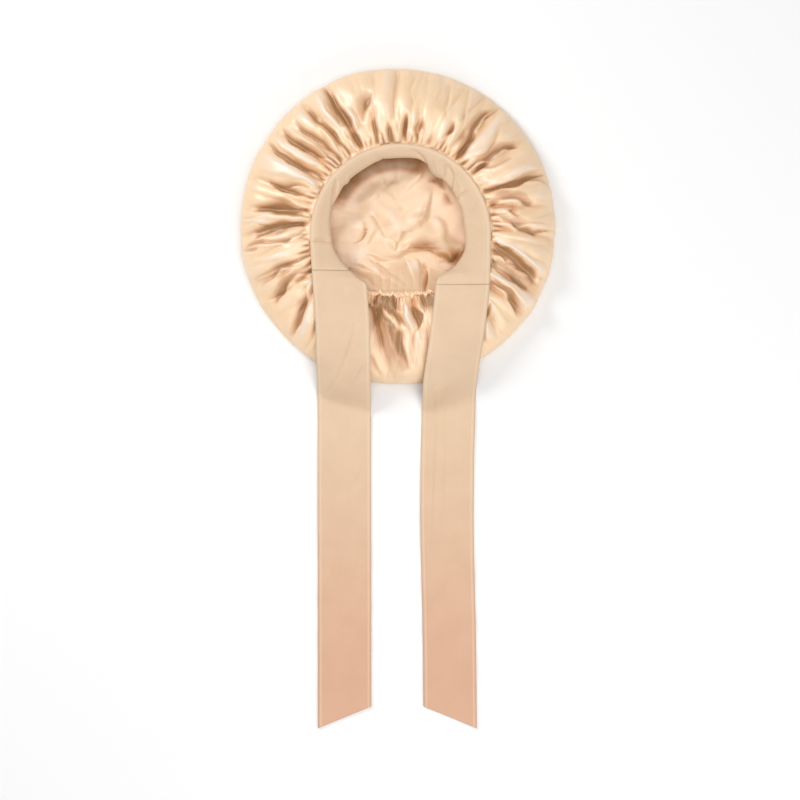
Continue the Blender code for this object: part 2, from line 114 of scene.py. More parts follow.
eye = bpy.data.cameras.new("eye")
eye.sensor_width = SENSOR_WIDTH
eye.lens = SENSOR_WIDTH * CAMERA_DISTANCE / SEEN_WIDTH
camera = bpy.data.objects.new("eye", eye)
camera.location = CAMERA_PLACE
bpy.context.collection.objects.link(camera)
bpy.context.scene.camera = camera

# The crown
# One big round of champagne satin, the outer bag. Its edge is gathered to the small mouth,
# so it lies flat underneath, rolls over at the rim, and is full of radial folds on top.
CROWN_CENTRE = (0.0, 0.200)
CROWN_RADIUS = 0.180
LOFT = 0.050
CROWN_WALL = 0.0015
MOUTH_RADIUS = 0.103
MOUTH_CENTRE = (0.0034, -0.0113)
NAPE_DISTANCE = 0.080
NAPE_DIP = 0.0074
NAPE_SPREAD = 34.0
SEAM_LAP = 0.003
GAP = 0.0003
CROWN_SIDES = 720
UNDER_SHARES = (0.75, 0.40, 0.10)

# Where each satin's fine pulls are read: the column that they are measured along, and
# their scale round the bag and along the cloth.
CROWN_PULL = (90, 0.15, 0.045)
LINING_PULL = (60, 0.05, 0.08)
CASING_PULL = 0.3

# How deep and high the skirt's folds are. BROAD_SHARE and LINE_SHARE are how much of
# CREASE_DEPTH and LINE_DEPTH is shape, and SKIRT_ROOM how far any fold may stand out.
CREASE_DEPTH = 0.018
BROAD_SHARE = 0.55
LINE_DEPTH = 0.0065
LINE_SHARE = 0.52
LINE_LIP = 0.4
GATHERS = 88
GATHER_HEIGHT = 0.0056
SLACK = 0.0007
SKIRT_ROOM = 0.005
LONG_SLOPE_HEADING = 135.0

# How slack cloth settles: every third column is simulated for SETTLE_FRAMES frames, and no
# point moves further than SETTLE_LIMIT. The skirt is held at its first rings and low down.
SETTLE_STEP = 3
SETTLE_FRAMES = 24
SETTLE_LIMIT = 0.010
SKIRT_SLACK = 0.024
SKIRT_GROWTH = 1.03
SKIRT_PRESSURE = 0.5
SATIN_BENDING = 0.03
SKIRT_HELD_RINGS = 2
SKIRT_HELD_BELOW = 0.30

# How much painted shade each kind of fold gets on the skirt, as a share of the satin's painted shade
# colour; how deep a valley must be for its painted shade to show in full, and how high a crest for its
# painted highlight.
VALLEY_DEPTH = 0.0036
CREST_HEIGHT = 0.0030
LEVEL_REACH = 9
LINE_SHADE = 0.90
VALLEY_SHADE = 0.6
GATHER_SHADE = 1.7
FRILL_SHADE = 1.5
FRILL_SHADE_AT = 0.10
FRILL_SHADE_RUN = 0.11

# Waves round the bag, each with its count, size and start: along the rim, in the fine folds,
# and in how far the gathers swing, how tall they are and how far they run.
RIM_FULLNESS = 1.009
RIM_WAVES = (
    (3, 0.0032, 0.6),
    (5, 0.0026, 2.1),
    (8, 0.0018, 4.0),
    (13, 0.0012, 1.0),
    (21, 0.0009, 5.0),
)
FINE_FOLDS = ((23, 0.0026, 0.3), (37, 0.0018, 1.9), (61, 0.0012, 4.1))
GATHER_SWINGS = ((5, 2.4, 1.0), (13, 1.5, 0.4), (29, 0.8, 0.0))
GATHER_SIZES = ((7, 0.25, 2.0), (19, 0.13, 1.0))
GATHER_LENGTHS = ((11, 0.045, 0.7), (31, 0.03, 2.0))

# Where the ties lie on the skirt and press it flat, in shares of MOUTH_RADIUS: the middle
# between them, how far off it they begin, how far out they end, and how low they start.
TIES_MIDDLE = 0.03
TIES_INNER = (0.19, 0.24)
TIES_OUTER = (0.95, 1.02)
TIES_START = (-0.62, -0.50)

# The crown's section from its seam to where it meets the table: out is the share of the
# skirt's width, up the share of LOFT, fold how much it takes part in the folds, and rings
# how finely the stretch down to the next row is divided.
CROWN_SECTION = (
    ("out", "up", "fold", "rings"),
    (0.000, 0.860, 0.00, 4),
    (0.045, 0.905, 0.80, 5),
    (0.105, 0.950, 0.95, 6),
    (0.190, 0.985, 1.00, 7),
    (0.300, 1.000, 1.00, 7),
    (0.440, 0.975, 1.00, 7),
    (0.600, 0.895, 1.00, 7),
    (0.760, 0.765, 1.00, 6),
    (0.890, 0.600, 0.90, 5),
    (0.972, 0.410, 0.55, 4),
    (1.000, 0.235, 0.20, 2),
    (0.980, 0.085, 0.00, 1),
    (0.925, 0.000, 0.00, 1),
)

# The skirt's creases by bearing in degrees from +X: sweep is how far a crease turns by its
# outer end, reach where it has half died out as a share of the skirt's width, depth a share
# of CREASE_DEPTH, width its half width in degrees, lean how much steeper its far side is.
CREASES = (
    ("bearing", "sweep", "reach", "depth", "width", "lean"),
    (10.7, -5.0, 0.80, 0.90, 3.2, 0.4),
    (19.6, -1.0, 0.95, 0.70, 2.6, -0.3),
    (35.2, -2.2, 0.82, 1.00, 3.4, 0.5),
    (48.0, 3.3, 0.92, 1.00, 3.8, -0.4),
    (59.5, 1.5, 0.40, 0.50, 2.6, 0.2),
    (69.5, -0.5, 0.40, 0.35, 2.8, -0.2),
    (77.0, 0.0, 0.28, 0.40, 2.4, 0.3),
    (85.0, 0.5, 0.32, 0.60, 2.6, 0.0),
    (95.0, 0.0, 0.22, 0.40, 2.4, 0.3),
    (104.5, -3.0, 0.55, 0.60, 3.2, -0.5),
    (115.5, 2.3, 0.82, 1.00, 3.4, 0.5),
    (123.5, 4.8, 0.85, 0.80, 2.8, 0.3),
    (131.5, 6.5, 0.80, 0.60, 2.6, 0.4),
    (139.0, 4.6, 0.86, 0.85, 2.8, -0.3),
    (150.3, -2.0, 0.92, 0.90, 3.0, 0.5),
    (163.5, -2.0, 0.75, 0.80, 3.2, -0.4),
    (171.5, 3.5, 0.85, 1.00, 3.6, 0.4),
    (179.8, 4.7, 0.92, 0.95, 3.4, -0.5),
    (187.5, 7.0, 0.80, 0.60, 2.8, 0.2),
    (198.0, 9.0, 0.72, 0.50, 3.0, 0.4),
    (208.0, 5.5, 0.80, 0.80, 3.2, -0.3),
    (218.0, 7.0, 0.78, 0.90, 3.4, 0.4),
    (228.0, 8.0, 0.85, 0.60, 3.0, -0.2),
    (240.0, 4.0, 0.60, 0.30, 3.2, 0.0),
    (252.5, 19.0, 0.80, 0.90, 4.2, 0.4),
    (266.5, 10.0, 0.50, 0.45, 3.0, -0.4),
    (281.5, 0.0, 0.38, 0.85, 4.4, 0.2),
    (289.0, -8.0, 0.75, 0.45, 3.4, 0.4),
    (303.0, -3.0, 0.60, 0.30, 3.2, 0.0),
    (319.5, -9.0, 0.75, 0.70, 3.2, -0.4),
    (326.5, -2.5, 0.86, 0.90, 3.0, 0.4),
    (338.0, -7.0, 0.92, 0.80, 3.0, -0.4),
    (347.5, -11.0, 0.86, 1.00, 3.6, 0.5),
    (357.5, -3.5, 0.92, 0.90, 3.2, -0.3),
)

# The sharp folds that the light picks out on the skirt: both ends as shares of CROWN_RADIUS
# from its centre, bow how far the middle swings aside, height a share of LINE_DEPTH
# (negative where pressed in), width a share of CROWN_RADIUS.
SKIRT_LINES = (
    ("x0", "y0", "x1", "y1", "bow", "height", "width"),
    (0.054, 0.546, 0.060, 0.686, 0.010, -0.90, 0.018),
    (0.098, 0.560, 0.110, 0.600, 0.000, 0.60, 0.016),
    (0.130, 0.555, 0.150, 0.650, 0.010, -0.50, 0.016),
    (0.181, 0.590, 0.170, 0.660, 0.000, -0.60, 0.024),
    (0.290, 0.540, 0.345, 0.640, -0.020, -0.60, 0.016),
    (0.327, 0.500, 0.330, 0.560, 0.000, 0.70, 0.016),
    (0.308, 0.700, 0.320, 0.860, 0.010, -0.45, 0.030),
    (0.400, 0.400, 0.590, 0.730, 0.020, -1.20, 0.030),
    (0.440, 0.420, 0.650, 0.640, -0.020, 0.60, 0.035),
    (0.467, 0.362, 0.770, 0.510, 0.020, -1.00, 0.024),
    (0.500, 0.340, 0.740, 0.420, 0.010, -0.55, 0.016),
    (0.537, 0.203, 0.940, 0.310, -0.020, -0.90, 0.016),
    (0.560, 0.240, 0.900, 0.360, -0.010, 0.50, 0.022),
    (0.590, 0.130, 0.850, 0.135, 0.020, -1.10, 0.034),
    (0.606, 0.095, 0.746, 0.044, 0.010, -0.70, 0.016),
    (0.620, 0.060, 0.700, 0.080, 0.000, 0.70, 0.016),
    (0.640, 0.040, 0.848, -0.063, 0.010, -0.90, 0.022),
    (0.860, -0.065, 0.990, -0.030, 0.010, -0.80, 0.014),
    (0.720, -0.010, 0.980, 0.020, 0.010, -0.45, 0.014),
    (0.800, 0.260, 0.975, 0.250, 0.010, -0.50, 0.014),
    (0.780, -0.300, 0.930, -0.350, -0.010, -0.50, 0.014),
    (0.560, 0.640, 0.680, 0.740, 0.010, -0.50, 0.016),
    (0.390, 0.620, 0.480, 0.880, 0.010, -0.35, 0.022),
    (0.100, 0.760, 0.120, 0.960, 0.010, -0.30, 0.030),
    (0.600, -0.165, 0.695, -0.225, 0.010, -0.80, 0.018),
    (0.640, -0.130, 0.892, -0.385, 0.030, -1.20, 0.036),
    (0.606, -0.250, 0.850, -0.430, -0.020, -0.70, 0.014),
    (0.594, -0.380, 0.775, -0.560, 0.030, -1.10, 0.032),
    (0.610, -0.330, 0.820, -0.500, 0.010, 0.50, 0.024),
    (0.568, -0.520, 0.549, -0.720, -0.010, -0.80, 0.024),
    (-0.568, -0.420, -0.650, -0.690, 0.010, -0.80, 0.024),
    (-0.568, -0.290, -0.770, -0.510, -0.030, -1.10, 0.026),
    (-0.620, -0.270, -0.920, -0.340, -0.020, -0.45, 0.016),
    (-0.680, -0.420, -0.860, -0.500, 0.010, -0.40, 0.016),
    (-0.560, -0.200, -0.860, -0.400, -0.020, -0.60, 0.016),
    (-0.575, -0.025, -0.950, -0.140, 0.020, -0.90, 0.018),
    (-0.590, 0.010, -0.880, -0.085, -0.030, -1.25, 0.050),
    (-0.560, 0.040, -0.930, 0.010, 0.010, 0.60, 0.024),
    (-0.600, 0.070, -0.870, 0.095, 0.020, -1.10, 0.040),
    (-0.860, 0.060, -0.990, 0.030, 0.010, -0.50, 0.016),
    (-0.840, -0.130, -0.990, -0.170, 0.010, -0.55, 0.014),
    (-0.575, 0.170, -0.840, 0.285, 0.020, -0.90, 0.020),
    (-0.560, 0.210, -0.800, 0.230, -0.010, -0.50, 0.014),
    (-0.520, 0.230, -0.880, 0.360, -0.020, 0.50, 0.024),
    (-0.467, 0.292, -0.820, 0.510, 0.020, -1.10, 0.022),
    (-0.430, 0.330, -0.800, 0.570, 0.010, 0.55, 0.022),
    (-0.395, 0.360, -0.730, 0.600, 0.010, -1.00, 0.022),
    (-0.360, 0.390, -0.660, 0.640, -0.010, -0.80, 0.018),
    (-0.300, 0.430, -0.580, 0.740, -0.020, -1.10, 0.016),
    (-0.270, 0.470, -0.500, 0.790, 0.000, 0.60, 0.024),
    (-0.225, 0.480, -0.465, 0.870, -0.030, -1.20, 0.040),
    (-0.240, 0.560, -0.270, 0.640, 0.000, 0.90, 0.040),
    (-0.205, 0.660, -0.190, 0.830, 0.020, -0.90, 0.040),
    (-0.115, 0.560, -0.140, 0.650, 0.010, -0.50, 0.018),
    (-0.050, 0.550, -0.080, 0.640, 0.010, -0.45, 0.016),
    (0.000, 0.545, -0.005, 0.620, 0.010, -0.45, 0.016),
    (-0.170, -0.520, 0.060, -0.910, 0.060, -1.30, 0.044),
    (-0.050, -0.520, 0.070, -0.650, 0.010, -0.80, 0.022),
    (0.050, -0.520, 0.110, -0.640, -0.010, 0.70, 0.026),
    (0.100, -0.520, 0.150, -0.620, 0.010, -0.90, 0.024),
    (-0.180, -0.830, -0.120, -0.960, 0.010, -0.50, 0.022),
    (0.160, -0.540, 0.100, -0.900, -0.030, -0.60, 0.024),
)


def column(rows, name):
    """One named column of a table whose first row holds the names."""
    place = rows[0].index(name)
    return np.array([row[place] for row in rows[1:]], float)


def read_smoothly(rows, key, name, at):
    """A column read along a key column, with no overshoot between its rows."""
    keys, values = column(rows, key), column(rows, name)
    steps = np.diff(keys)
    slopes = np.diff(values) / steps
    before, behind = slopes[:-1], slopes[1:]
    same_way = before * behind > 0
    tangents = np.zeros(len(keys))
    tangents[1:-1][same_way] = 2 * (before * behind)[same_way] / (before + behind)[same_way]
    at = np.clip(np.asarray(at, float), keys[0], keys[-1])
    i = np.clip(np.searchsorted(keys, at, side="right") - 1, 0, len(steps) - 1)
    t = (at - keys[i]) / steps[i]
    rise = values[i + 1] - values[i]
    start, end = tangents[i] * steps[i], tangents[i + 1] * steps[i]
    bend = t**2 * (3 * rise - 2 * start - end) + t**3 * (start + end - 2 * rise)
    return values[i] + t * start + bend


def read_section(rows, name, divisions):
    """A section's column read smoothly, each stretch between rows cut into its divisions."""
    keys = np.arange(len(rows) - 1.0)
    stretches = [key + np.arange(count) / count for key, count in zip(keys[:-1], divisions)]
    numbered = (("key", name), *zip(keys, column(rows, name)))
    return read_smoothly(numbered, "key", name, np.concatenate([*stretches, keys[-1:]]))[:, None]


def smoothstep(start, end, value):
    """0 up to the start, 1 from the end on, and smooth between; the end may be the lower one."""
    t = np.clip((value - start) / (end - start), 0, 1)
    return t * t * (3 - 2 * t)


def turned(angle):
    """An angle in degrees brought to within half a turn of zero."""
    return (angle + 180) % 360 - 180


def waves(a, rows):
    """The sum of waves along an angle, each with a count, a size and a start."""
    return sum(size * np.sin(count * a + start) for count, size, start in rows)


def seam_radius(bearing):
    """Distance from the crown's centre to the seam: a round front cut off by the nape."""
    a = np.radians(bearing)
    x, y = np.cos(a), np.sin(a)
    towards = x * MOUTH_CENTRE[0] + y * MOUTH_CENTRE[1]
    offset = MOUTH_CENTRE[0] ** 2 + MOUTH_CENTRE[1] ** 2
    front = towards + np.sqrt(towards**2 - offset + MOUTH_RADIUS**2)
    nape = NAPE_DISTANCE / np.maximum(-y, 1e-3)
    sharpness = 8
    return (front**-sharpness + nape**-sharpness) ** (-1 / sharpness)


def rim_radius(bearing):
    """The crown's outline from above, round but for the slight waves of soft cloth."""
    a = np.radians(bearing)
    uneven = sum(size * np.cos(count * a + start) for count, size, start in RIM_WAVES)
    return CROWN_RADIUS * (RIM_FULLNESS + uneven)


def nape_share(bearing):
    """1 at the middle of the nape, fading to 0 at the sides."""
    return np.exp(-((turned(bearing - 270) / NAPE_SPREAD) ** 4))


def seam_height(bearing):
    """Height of the crown's gathered edge, which dips at the unbound nape."""
    return CROWN_SECTION[1][1] * LOFT - NAPE_DIP * nape_share(bearing)


def skirt_dip(bearing, out):
    """How much lower the skirt lies by the nape, where its gathered edge is unbound."""
    return NAPE_DIP * nape_share(bearing) * (1 - smoothstep(0.0, 0.7, out))


def crease_field(bearing, out):
    """How far the satin is pressed in, in metres: creases with rolled lips and a sharp root."""
    pressed = np.zeros(np.broadcast(bearing, out).shape)
    for start, sweep, reach, depth, width, lean in CREASES[1:]:
        along = np.clip(out / (1.35 * reach), 0, None)
        wander = 0.8 * np.sin(4.0 * along + start) * along
        side = turned(bearing - start - sweep * along - wander)
        side = side / (0.78 * width * (1 + 0.35 * along))
        side = side * (1 + lean * np.tanh(2 * side))
        fade = 1 - smoothstep(0.50, 1.05, along)
        valley = 0.72 * np.exp(-np.abs(side) ** 1.7) + 0.28 * np.exp(-np.abs(2.6 * side) ** 1.2)
        lip = 0.16 * np.exp(-(((side - 1.7) / 0.7) ** 2)) * np.sin(np.pi * np.clip(along, 0, 1))
        pressed = pressed + depth * fade * (valley - lip)
    return CREASE_DEPTH * pressed


def gather_pattern(bearing, out):
    """The gathers' phase, size and length: close, uneven, and swinging aside as they run out."""
    a = np.radians(bearing)
    phase = GATHERS * a + waves(a, GATHER_SWINGS) + 9 * out * np.sin(17 * a + 1.2)
    return phase, 0.62 + waves(a, GATHER_SIZES), 0.11 + waves(a, GATHER_LENGTHS)


def gather_lines(bearing, out):
    """1 along the root between two gathers, where painted shade goes, 0 on their backs and past their
    ends.
    """
    phase, size, length = gather_pattern(bearing, out)
    root = np.abs(np.cos(phase / 2)) ** 5
    return root * np.exp(-((out / length) ** 2)) * np.clip(1.3 * size, 0, 1)


def gather_field(bearing, out):
    """The fine gathers at the seam: close puckers of uneven size that run out into the folds."""
    a = np.radians(bearing)
    phase, size, length = gather_pattern(bearing, out)
    fine = (1 - np.abs(np.cos(phase / 2))) ** 0.8 * np.exp(-((out / length) ** 2)) * size
    broad = 0.5 + 0.5 * np.sin(phase / 2 + 1.3 * np.sin(3 * a) + 6 * out)
    broad = broad * np.exp(-(((out - 0.2) / 0.22) ** 2)) * 0.35 * (1 + np.sin(9 * a))
    return GATHER_HEIGHT * (fine + broad) * smoothstep(0.0, 0.025, out)


def wandering(x, y):
    """A place shifted a little to and fro, so that folds drawn by it don't run straight."""
    u, v = x / CROWN_RADIUS, y / CROWN_RADIUS
    aside = 0.012 * np.sin(13 * u + 7 * v + 1) + 0.008 * np.sin(24 * v - 17 * u + 2)
    aside = aside + 0.004 * np.sin(51 * u + 33 * v)
    ahead = 0.012 * np.sin(11 * v - 9 * u + 3) + 0.008 * np.sin(21 * u + 19 * v)
    ahead = ahead + 0.004 * np.sin(47 * v - 38 * u + 1)
    return x + CROWN_RADIUS * aside, y + CROWN_RADIUS * ahead


def stroke_field(x, y, rows, unit, lip=0.0):
    """The sum of a table's folds at a place, in shares of their height, with fading ends.

    Lengths are in shares of a unit. A fold has a sharp root, a short slope on one side and a
    long one on the side of LONG_SLOPE_HEADING; with a lip, the short side is raised.
    """
    height = np.zeros(np.broadcast(x, y).shape)
    towards = np.radians(LONG_SLOPE_HEADING)
    for x0, y0, x1, y1, bow, tall, wide in rows[1:]:
        start = np.array((x0, y0)) * unit
        run = np.array((x1, y1)) * unit - start
        long = np.hypot(*run)
        along = ((x - start[0]) * run[0] + (y - start[1]) * run[1]) / long**2
        aside = ((y - start[1]) * run[0] - (x - start[0]) * run[1]) / long
        at = np.clip(along, 0, 1)
        taper = wide * unit * (0.55 + 0.45 * np.sin(np.pi * at))
        lean = np.sign(run[0] * np.sin(towards) - run[1] * np.cos(towards) + 1e-9)
        aside = lean * (aside - bow * unit * 4 * at * (1 - at)) / taper
        aside = aside / (1.35 + 0.90 * np.tanh(2.5 * aside))
        past = (along - at) * long / taper
        raised = lip * np.exp(-(((aside + 2.0) / 0.9) ** 2) - past**2)
        across = np.exp(-(np.hypot(aside, past) ** 1.4)) - raised
        height = height + tall * (0.35 + 0.65 * np.sin(np.pi * (0.1 + 0.8 * at))) * across
    return height


def ridge(phase):
    """A row of soft backs with sharp creases between them, from -1 to 1."""
    return 1 - 2 * np.abs(np.cos(phase / 2)) ** 0.7


def fine_field(bearing, out):
    """Thin folds that run on from the gathers to the rim, each starting and dying out."""
    a = np.radians(bearing)
    height = 0
    for count, size, start in FINE_FOLDS:
        swing = 1.6 * np.sin(3 * a + start) + 0.9 * np.sin(8 * a + 2 * start)
        phase = count * a + swing + 1.3 * np.sin(3.1 * out + start + 2 * a)
        live = 0.5 + 0.5 * np.sin(5 * a + 4.3 * out + 3 * start) * np.sin(7 * a - 2 * out + start)
        height = height - size * live**1.5 * ridge(phase)
    return height * smoothstep(0.03, 0.15, out)


def slack_field(bearing, out):
    """The slight unevenness of slack satin between its folds."""
    a = np.radians(bearing)
    uneven = np.sin(23 * a + 4 * out + 2.2 * np.sin(3 * a)) * np.sin(9 * out + 2 * np.sin(4 * a))
    uneven = uneven + 0.7 * np.sin(41 * a - 6 * out + 1.7 * np.sin(6 * a)) * np.sin(5 + 7 * out)
    return SLACK * uneven * np.sin(np.pi * np.clip(out, 0, 1)) ** 0.7


def under_ties(x, y):
    """1 where the ties lie on the skirt and press its folds flat, 0 beside them."""
    x, y = x / MOUTH_RADIUS, y / MOUTH_RADIUS
    beside = smoothstep(*TIES_INNER, np.abs(x - TIES_MIDDLE)) * (1 - smoothstep(*TIES_OUTER, np.abs(x)))
    return beside * (1 - smoothstep(*TIES_START, y))


def polar_points(radius, bearing, height):
    """Points about the crown's centre from their distance, bearing and height."""
    a = np.radians(bearing)
    x, y = radius * np.cos(a), radius * np.sin(a)
    return np.stack([x, y, height + 0 * x], axis=-1)


def ring_points(outs, heights, bearings):
    """Points of rings about the crown's centre: one row a ring, one column a bearing."""
    seam, rim = seam_radius(bearings), rim_radius(bearings)
    return polar_points(seam + outs * (rim - seam), bearings, heights)


def grid_normals(grid, wraps):
    """Unit normals of a grid of points, taken from its neighbours both ways."""
    down = np.gradient(grid, axis=0)
    if wraps:
        across = np.roll(grid, -1, axis=1) - np.roll(grid, 1, axis=1)
    else:
        across = np.gradient(grid, axis=1)
    normals = np.cross(down, across)
    return normals / np.maximum(np.linalg.norm(normals, axis=-1, keepdims=True), 1e-12)


def ring_faces(rings, sides, first=0):
    """Quads between rings of points numbered ring by ring from the first one."""
    row = first + np.arange(rings - 1)[:, None] * sides
    col = np.arange(sides)[None, :]
    after = (col + 1) % sides
    corners = [row + after, row + col, row + sides + col, row + sides + after]
    return np.stack(corners, axis=-1).reshape(-1, 4)


def settling(grid, loose, stiff_rows, pressure, bending):
    """How far the points of a ring grid move as its cloth settles towards its loose size.

    The loose grid has the same points with the lengths that the cloth would have if laid
    out: what is more than the ring has room for buckles into folds. The stiff rows are
    held, and the columns between those simulated move with their neighbours.
    """
    coarse = grid[:, ::SETTLE_STEP]
    rings, sides = coarse.shape[:2]
    sheet = bpy.data.meshes.new("settling")
    faces = [tuple(face) for face in ring_faces(rings, sides).tolist()]
    sheet.from_pydata(coarse.reshape(-1, 3).tolist(), [], faces)
    trial = bpy.data.objects.new("settling", sheet)
    bpy.context.collection.objects.link(trial)
    trial.shape_key_add(name="as_laid")
    slack_key = trial.shape_key_add(name="slack")
    slack_key.data.foreach_set("co", loose[:, ::SETTLE_STEP].ravel())
    pins = trial.vertex_groups.new(name="held")
    for row in np.arange(rings)[stiff_rows]:
        pins.add(list(range(row * sides, (row + 1) * sides)), 1.0, "REPLACE")
    cloth = trial.modifiers.new("settle", "CLOTH")
    cloth.settings.quality = 6
    cloth.settings.mass = 0.05
    cloth.settings.tension_stiffness = 12
    cloth.settings.compression_stiffness = 12
    cloth.settings.shear_stiffness = 3
    cloth.settings.bending_stiffness = bending
    cloth.settings.air_damping = 3
    cloth.settings.vertex_group_mass = "held"
    cloth.settings.rest_shape_key = sheet.shape_keys.key_blocks["slack"]
    cloth.settings.effector_weights.gravity = 0
    cloth.settings.use_pressure = True
    cloth.settings.uniform_pressure_force = pressure
    cloth.collision_settings.use_collision = False
    cloth.point_cache.frame_start = 1
    cloth.point_cache.frame_end = SETTLE_FRAMES
    for frame_number in range(1, SETTLE_FRAMES + 1):
        bpy.context.scene.frame_set(frame_number)
    dressed = trial.evaluated_get(bpy.context.evaluated_depsgraph_get())
    places = np.zeros(coarse.size)
    dressed.data.vertices.foreach_get("co", places)
    bpy.data.objects.remove(trial)
    bpy.context.scene.frame_set(1)
    way = places.reshape(coarse.shape) - coarse
    far = np.linalg.norm(way, axis=-1, keepdims=True)
    way = way * np.minimum(1, SETTLE_LIMIT / np.maximum(far, 1e-9))
    way = np.concatenate([way, way[:, :1]], axis=1)
    col = np.arange(grid.shape[1]) / SETTLE_STEP
    before = col.astype(int)
    share = (col - before)[:, None]
    return way[:, before] * (1 - share) + way[:, before + 1] * share


def evened(field, reach, axis):
    """A field averaged with its neighbours up to a reach both ways along a wrapped axis."""
    shifts = range(-reach, reach + 1)
    return sum(np.roll(field, shift, axis=axis) for shift in shifts) / len(shifts)


def bowl(upper, lower):
    """Points and faces of a cloth bowl: two skins of rings joined at the mouth.

    Each grid of rings ends with a fan about one point at the middle of its last ring.
    """
    rings, sides = upper.shape[:2]
    skin = rings * sides + 1
    around = np.arange(sides)
    after = (around + 1) % sides
    points = []
    faces = []
    for first, grid, way in ((0, upper, 1), (skin, lower, -1)):
        points += [grid.reshape(-1, 3), grid[-1].mean(axis=0)[None]]
        last = first + (rings - 1) * sides
        fan = np.stack([last + after, last + around, np.full(sides, first + skin - 1)], axis=-1)
        faces += [ring_faces(rings, sides, first)[:, ::way], fan[:, ::way]]
    faces.append(np.stack([around, after, after + skin, around + skin], axis=-1))
    return np.concatenate(points), [tuple(face) for part in faces for face in part.tolist()]


def with_centre(values):
    """A field over a grid of rings, laid out as bowl() lays its points, for both skins."""
    last = values[-1:].mean(axis=1).reshape(1, *values.shape[2:])
    one = np.concatenate([values.reshape(-1, *values.shape[2:]), last])
    return np.concatenate([one, one])


def pull_over(grid, bearings, line, around_scale, along_scale):
    """Where a satin's fine pulls are read: round the bag, and outwards along one line of it."""
    steps = np.linalg.norm(np.diff(grid[:, line], axis=0), axis=-1)
    along = along_scale * np.concatenate([[0], np.cumsum(steps)])[:, None]
    around = polar_points(around_scale, bearings, 0)[None]
    return around + along[..., None] * (0, 0, 1)


def cloth_piece(name, points, faces, material, **fields):
    """A finished cloth piece riding on the bonnet, smooth, with its named fields per point."""
    mesh = bpy.data.meshes.new(name)
    mesh.from_pydata((points + (*CROWN_CENTRE, 0)).tolist(), [], faces)
    mesh.update()
    for field, values in fields.items():
        kind, slot = ("FLOAT", "value") if values.ndim == 1 else ("FLOAT_VECTOR", "vector")
        layer = mesh.attributes.new(field, kind, "POINT")
        layer.data.foreach_set(slot, np.ascontiguousarray(values, dtype=np.float32).ravel())
    mesh.shade_smooth()
    mesh.materials.append(material)
    piece = bpy.data.objects.new(name, mesh)
    bpy.context.collection.objects.link(piece)
    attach(piece, "root")
    return piece


def add_node(tree, kind, *in_order, **by_name):
    """A new shader node's outputs: settings and sockets are given by name, or in order."""
    node = tree.nodes.new("ShaderNode" + kind)
    node.location = (200 * len(tree.nodes), 0)
    for key, value in by_name.items():
        socket = key.replace("_", " ")
        if socket in node.inputs:
            fill(tree, node.inputs[socket], value)
        else:
            setattr(node, key, value)
    for socket, value in zip(node.inputs, in_order):
        fill(tree, socket, value)
    return node.outputs


def mixed(tree, factor, first, second, blend="MIX"):
    """Two colours mixed by a factor."""
    node = tree.nodes.new("ShaderNodeMix")
    node.location = (200 * len(tree.nodes), 0)
    node.data_type = "RGBA"
    node.blend_type = blend
    fill(tree, node.inputs["Factor"], factor)
    for place, value in zip(MIX_COLOURS, (first, second)):
        fill(tree, node.inputs[place], value)
    return node.outputs[MIX_RESULT]


def add_surface(name, inputs):
    """A node group for a cloth's colour, roughness and height, and the values given to it."""
    group = bpy.data.node_groups.new(name, "ShaderNodeTree")
    for way, sockets in (("INPUT", inputs), ("OUTPUT", SURFACE_OUTPUTS)):
        for socket, kind in sockets:
            group.interface.new_socket(socket, in_out=way, socket_type="NodeSocket" + kind)
    return group, group.nodes.new("NodeGroupInput").outputs


def end_surface(group, *values):
    """Ends a cloth's node group with its colour, roughness and height."""
    end = group.nodes.new("NodeGroupOutput")
    end.location = (200 * len(group.nodes), 0)
    for socket, value in zip(end.inputs, values):
        fill(group, socket, value)


def cloth_material(name, surface, relief, relief_depth, look, **values):
    """A cloth's material: its surface's colour, roughness and relief, and its look."""
    material = new_material(name, **look)
    tree = material.node_tree
    shown = add_node(tree, "Group", node_tree=surface, **values)
    bump = add_node(tree, "Bump", Strength=relief, Distance=relief_depth, Height=shown["Height"])
    shader = tree.nodes["Principled BSDF"].inputs
    fill(tree, shader["Base Color"], shown["Colour"])
    fill(tree, shader["Roughness"], shown["Roughness"])
    fill(tree, shader["Normal"], bump["Normal"])
    return material


# Places of the Mix node's colour sockets, and what each cloth's surface gives.
MIX_COLOURS = (6, 7)
MIX_RESULT = 2
SURFACE_OUTPUTS = (("Colour", "Color"), ("Roughness", "Float"), ("Height", "Float"))

# Satin's surface: the pull attribute follows the cloth from the seam outwards, so the fine pulls run
# along the folds; the depth attribute carries painted shade, 1 at a fold's root, and painted highlight,
# -1 on its crest. The painted highlight colour also goes on in random pale patches. Each satin has its
# colour, its painted shade colour for the folds, its lustre and how strong its relief is.
SATINS = {
    "crown_satin": ((0.95, 0.675, 0.42, 1.0), (0.57, 0.26, 0.11, 1.0), 0.36, 0.2),
    "lining_satin": ((0.91, 0.635, 0.405, 1.0), (0.52, 0.20, 0.05, 1.0), 0.38, 0.2),
    "casing_satin": ((0.95, 0.69, 0.46, 1.0), (0.55, 0.27, 0.14, 1.0), 0.34, 0.3),
}
SATIN_RELIEF_DEPTH = 0.0006
# Painted shadow for the roots of the deepest folds.
SATIN_SHADOW = (0.26, 0.165, 0.065, 1.0)
# Painted highlight for the crests and for random pale patches.
SATIN_PAINTED_HIGHLIGHT = (0.95, 0.76, 0.605, 1.0)
SATIN_LOOK = {
    "Metallic": 0.05,
    "IOR": 1.7,
    "Specular_IOR_Level": 0.66,
    "Sheen_Weight": 0.03,
    "Sheen_Roughness": 0.4,
    "Sheen_Tint": (1.0, 0.90, 0.80, 1.0),
}
sheen, given = add_surface(
    "satin_surface",
    (("Colour", "Color"), ("Bloom Colour", "Color"), ("Deep Colour", "Color"), ("Lustre", "Float")),
)
pull = add_node(sheen, "Attribute", attribute_name="pull")["Vector"]
painted_shading = add_node(sheen, "Attribute", attribute_name="depth")["Fac"]
place = add_node(sheen, "TexCoord")["Object"]
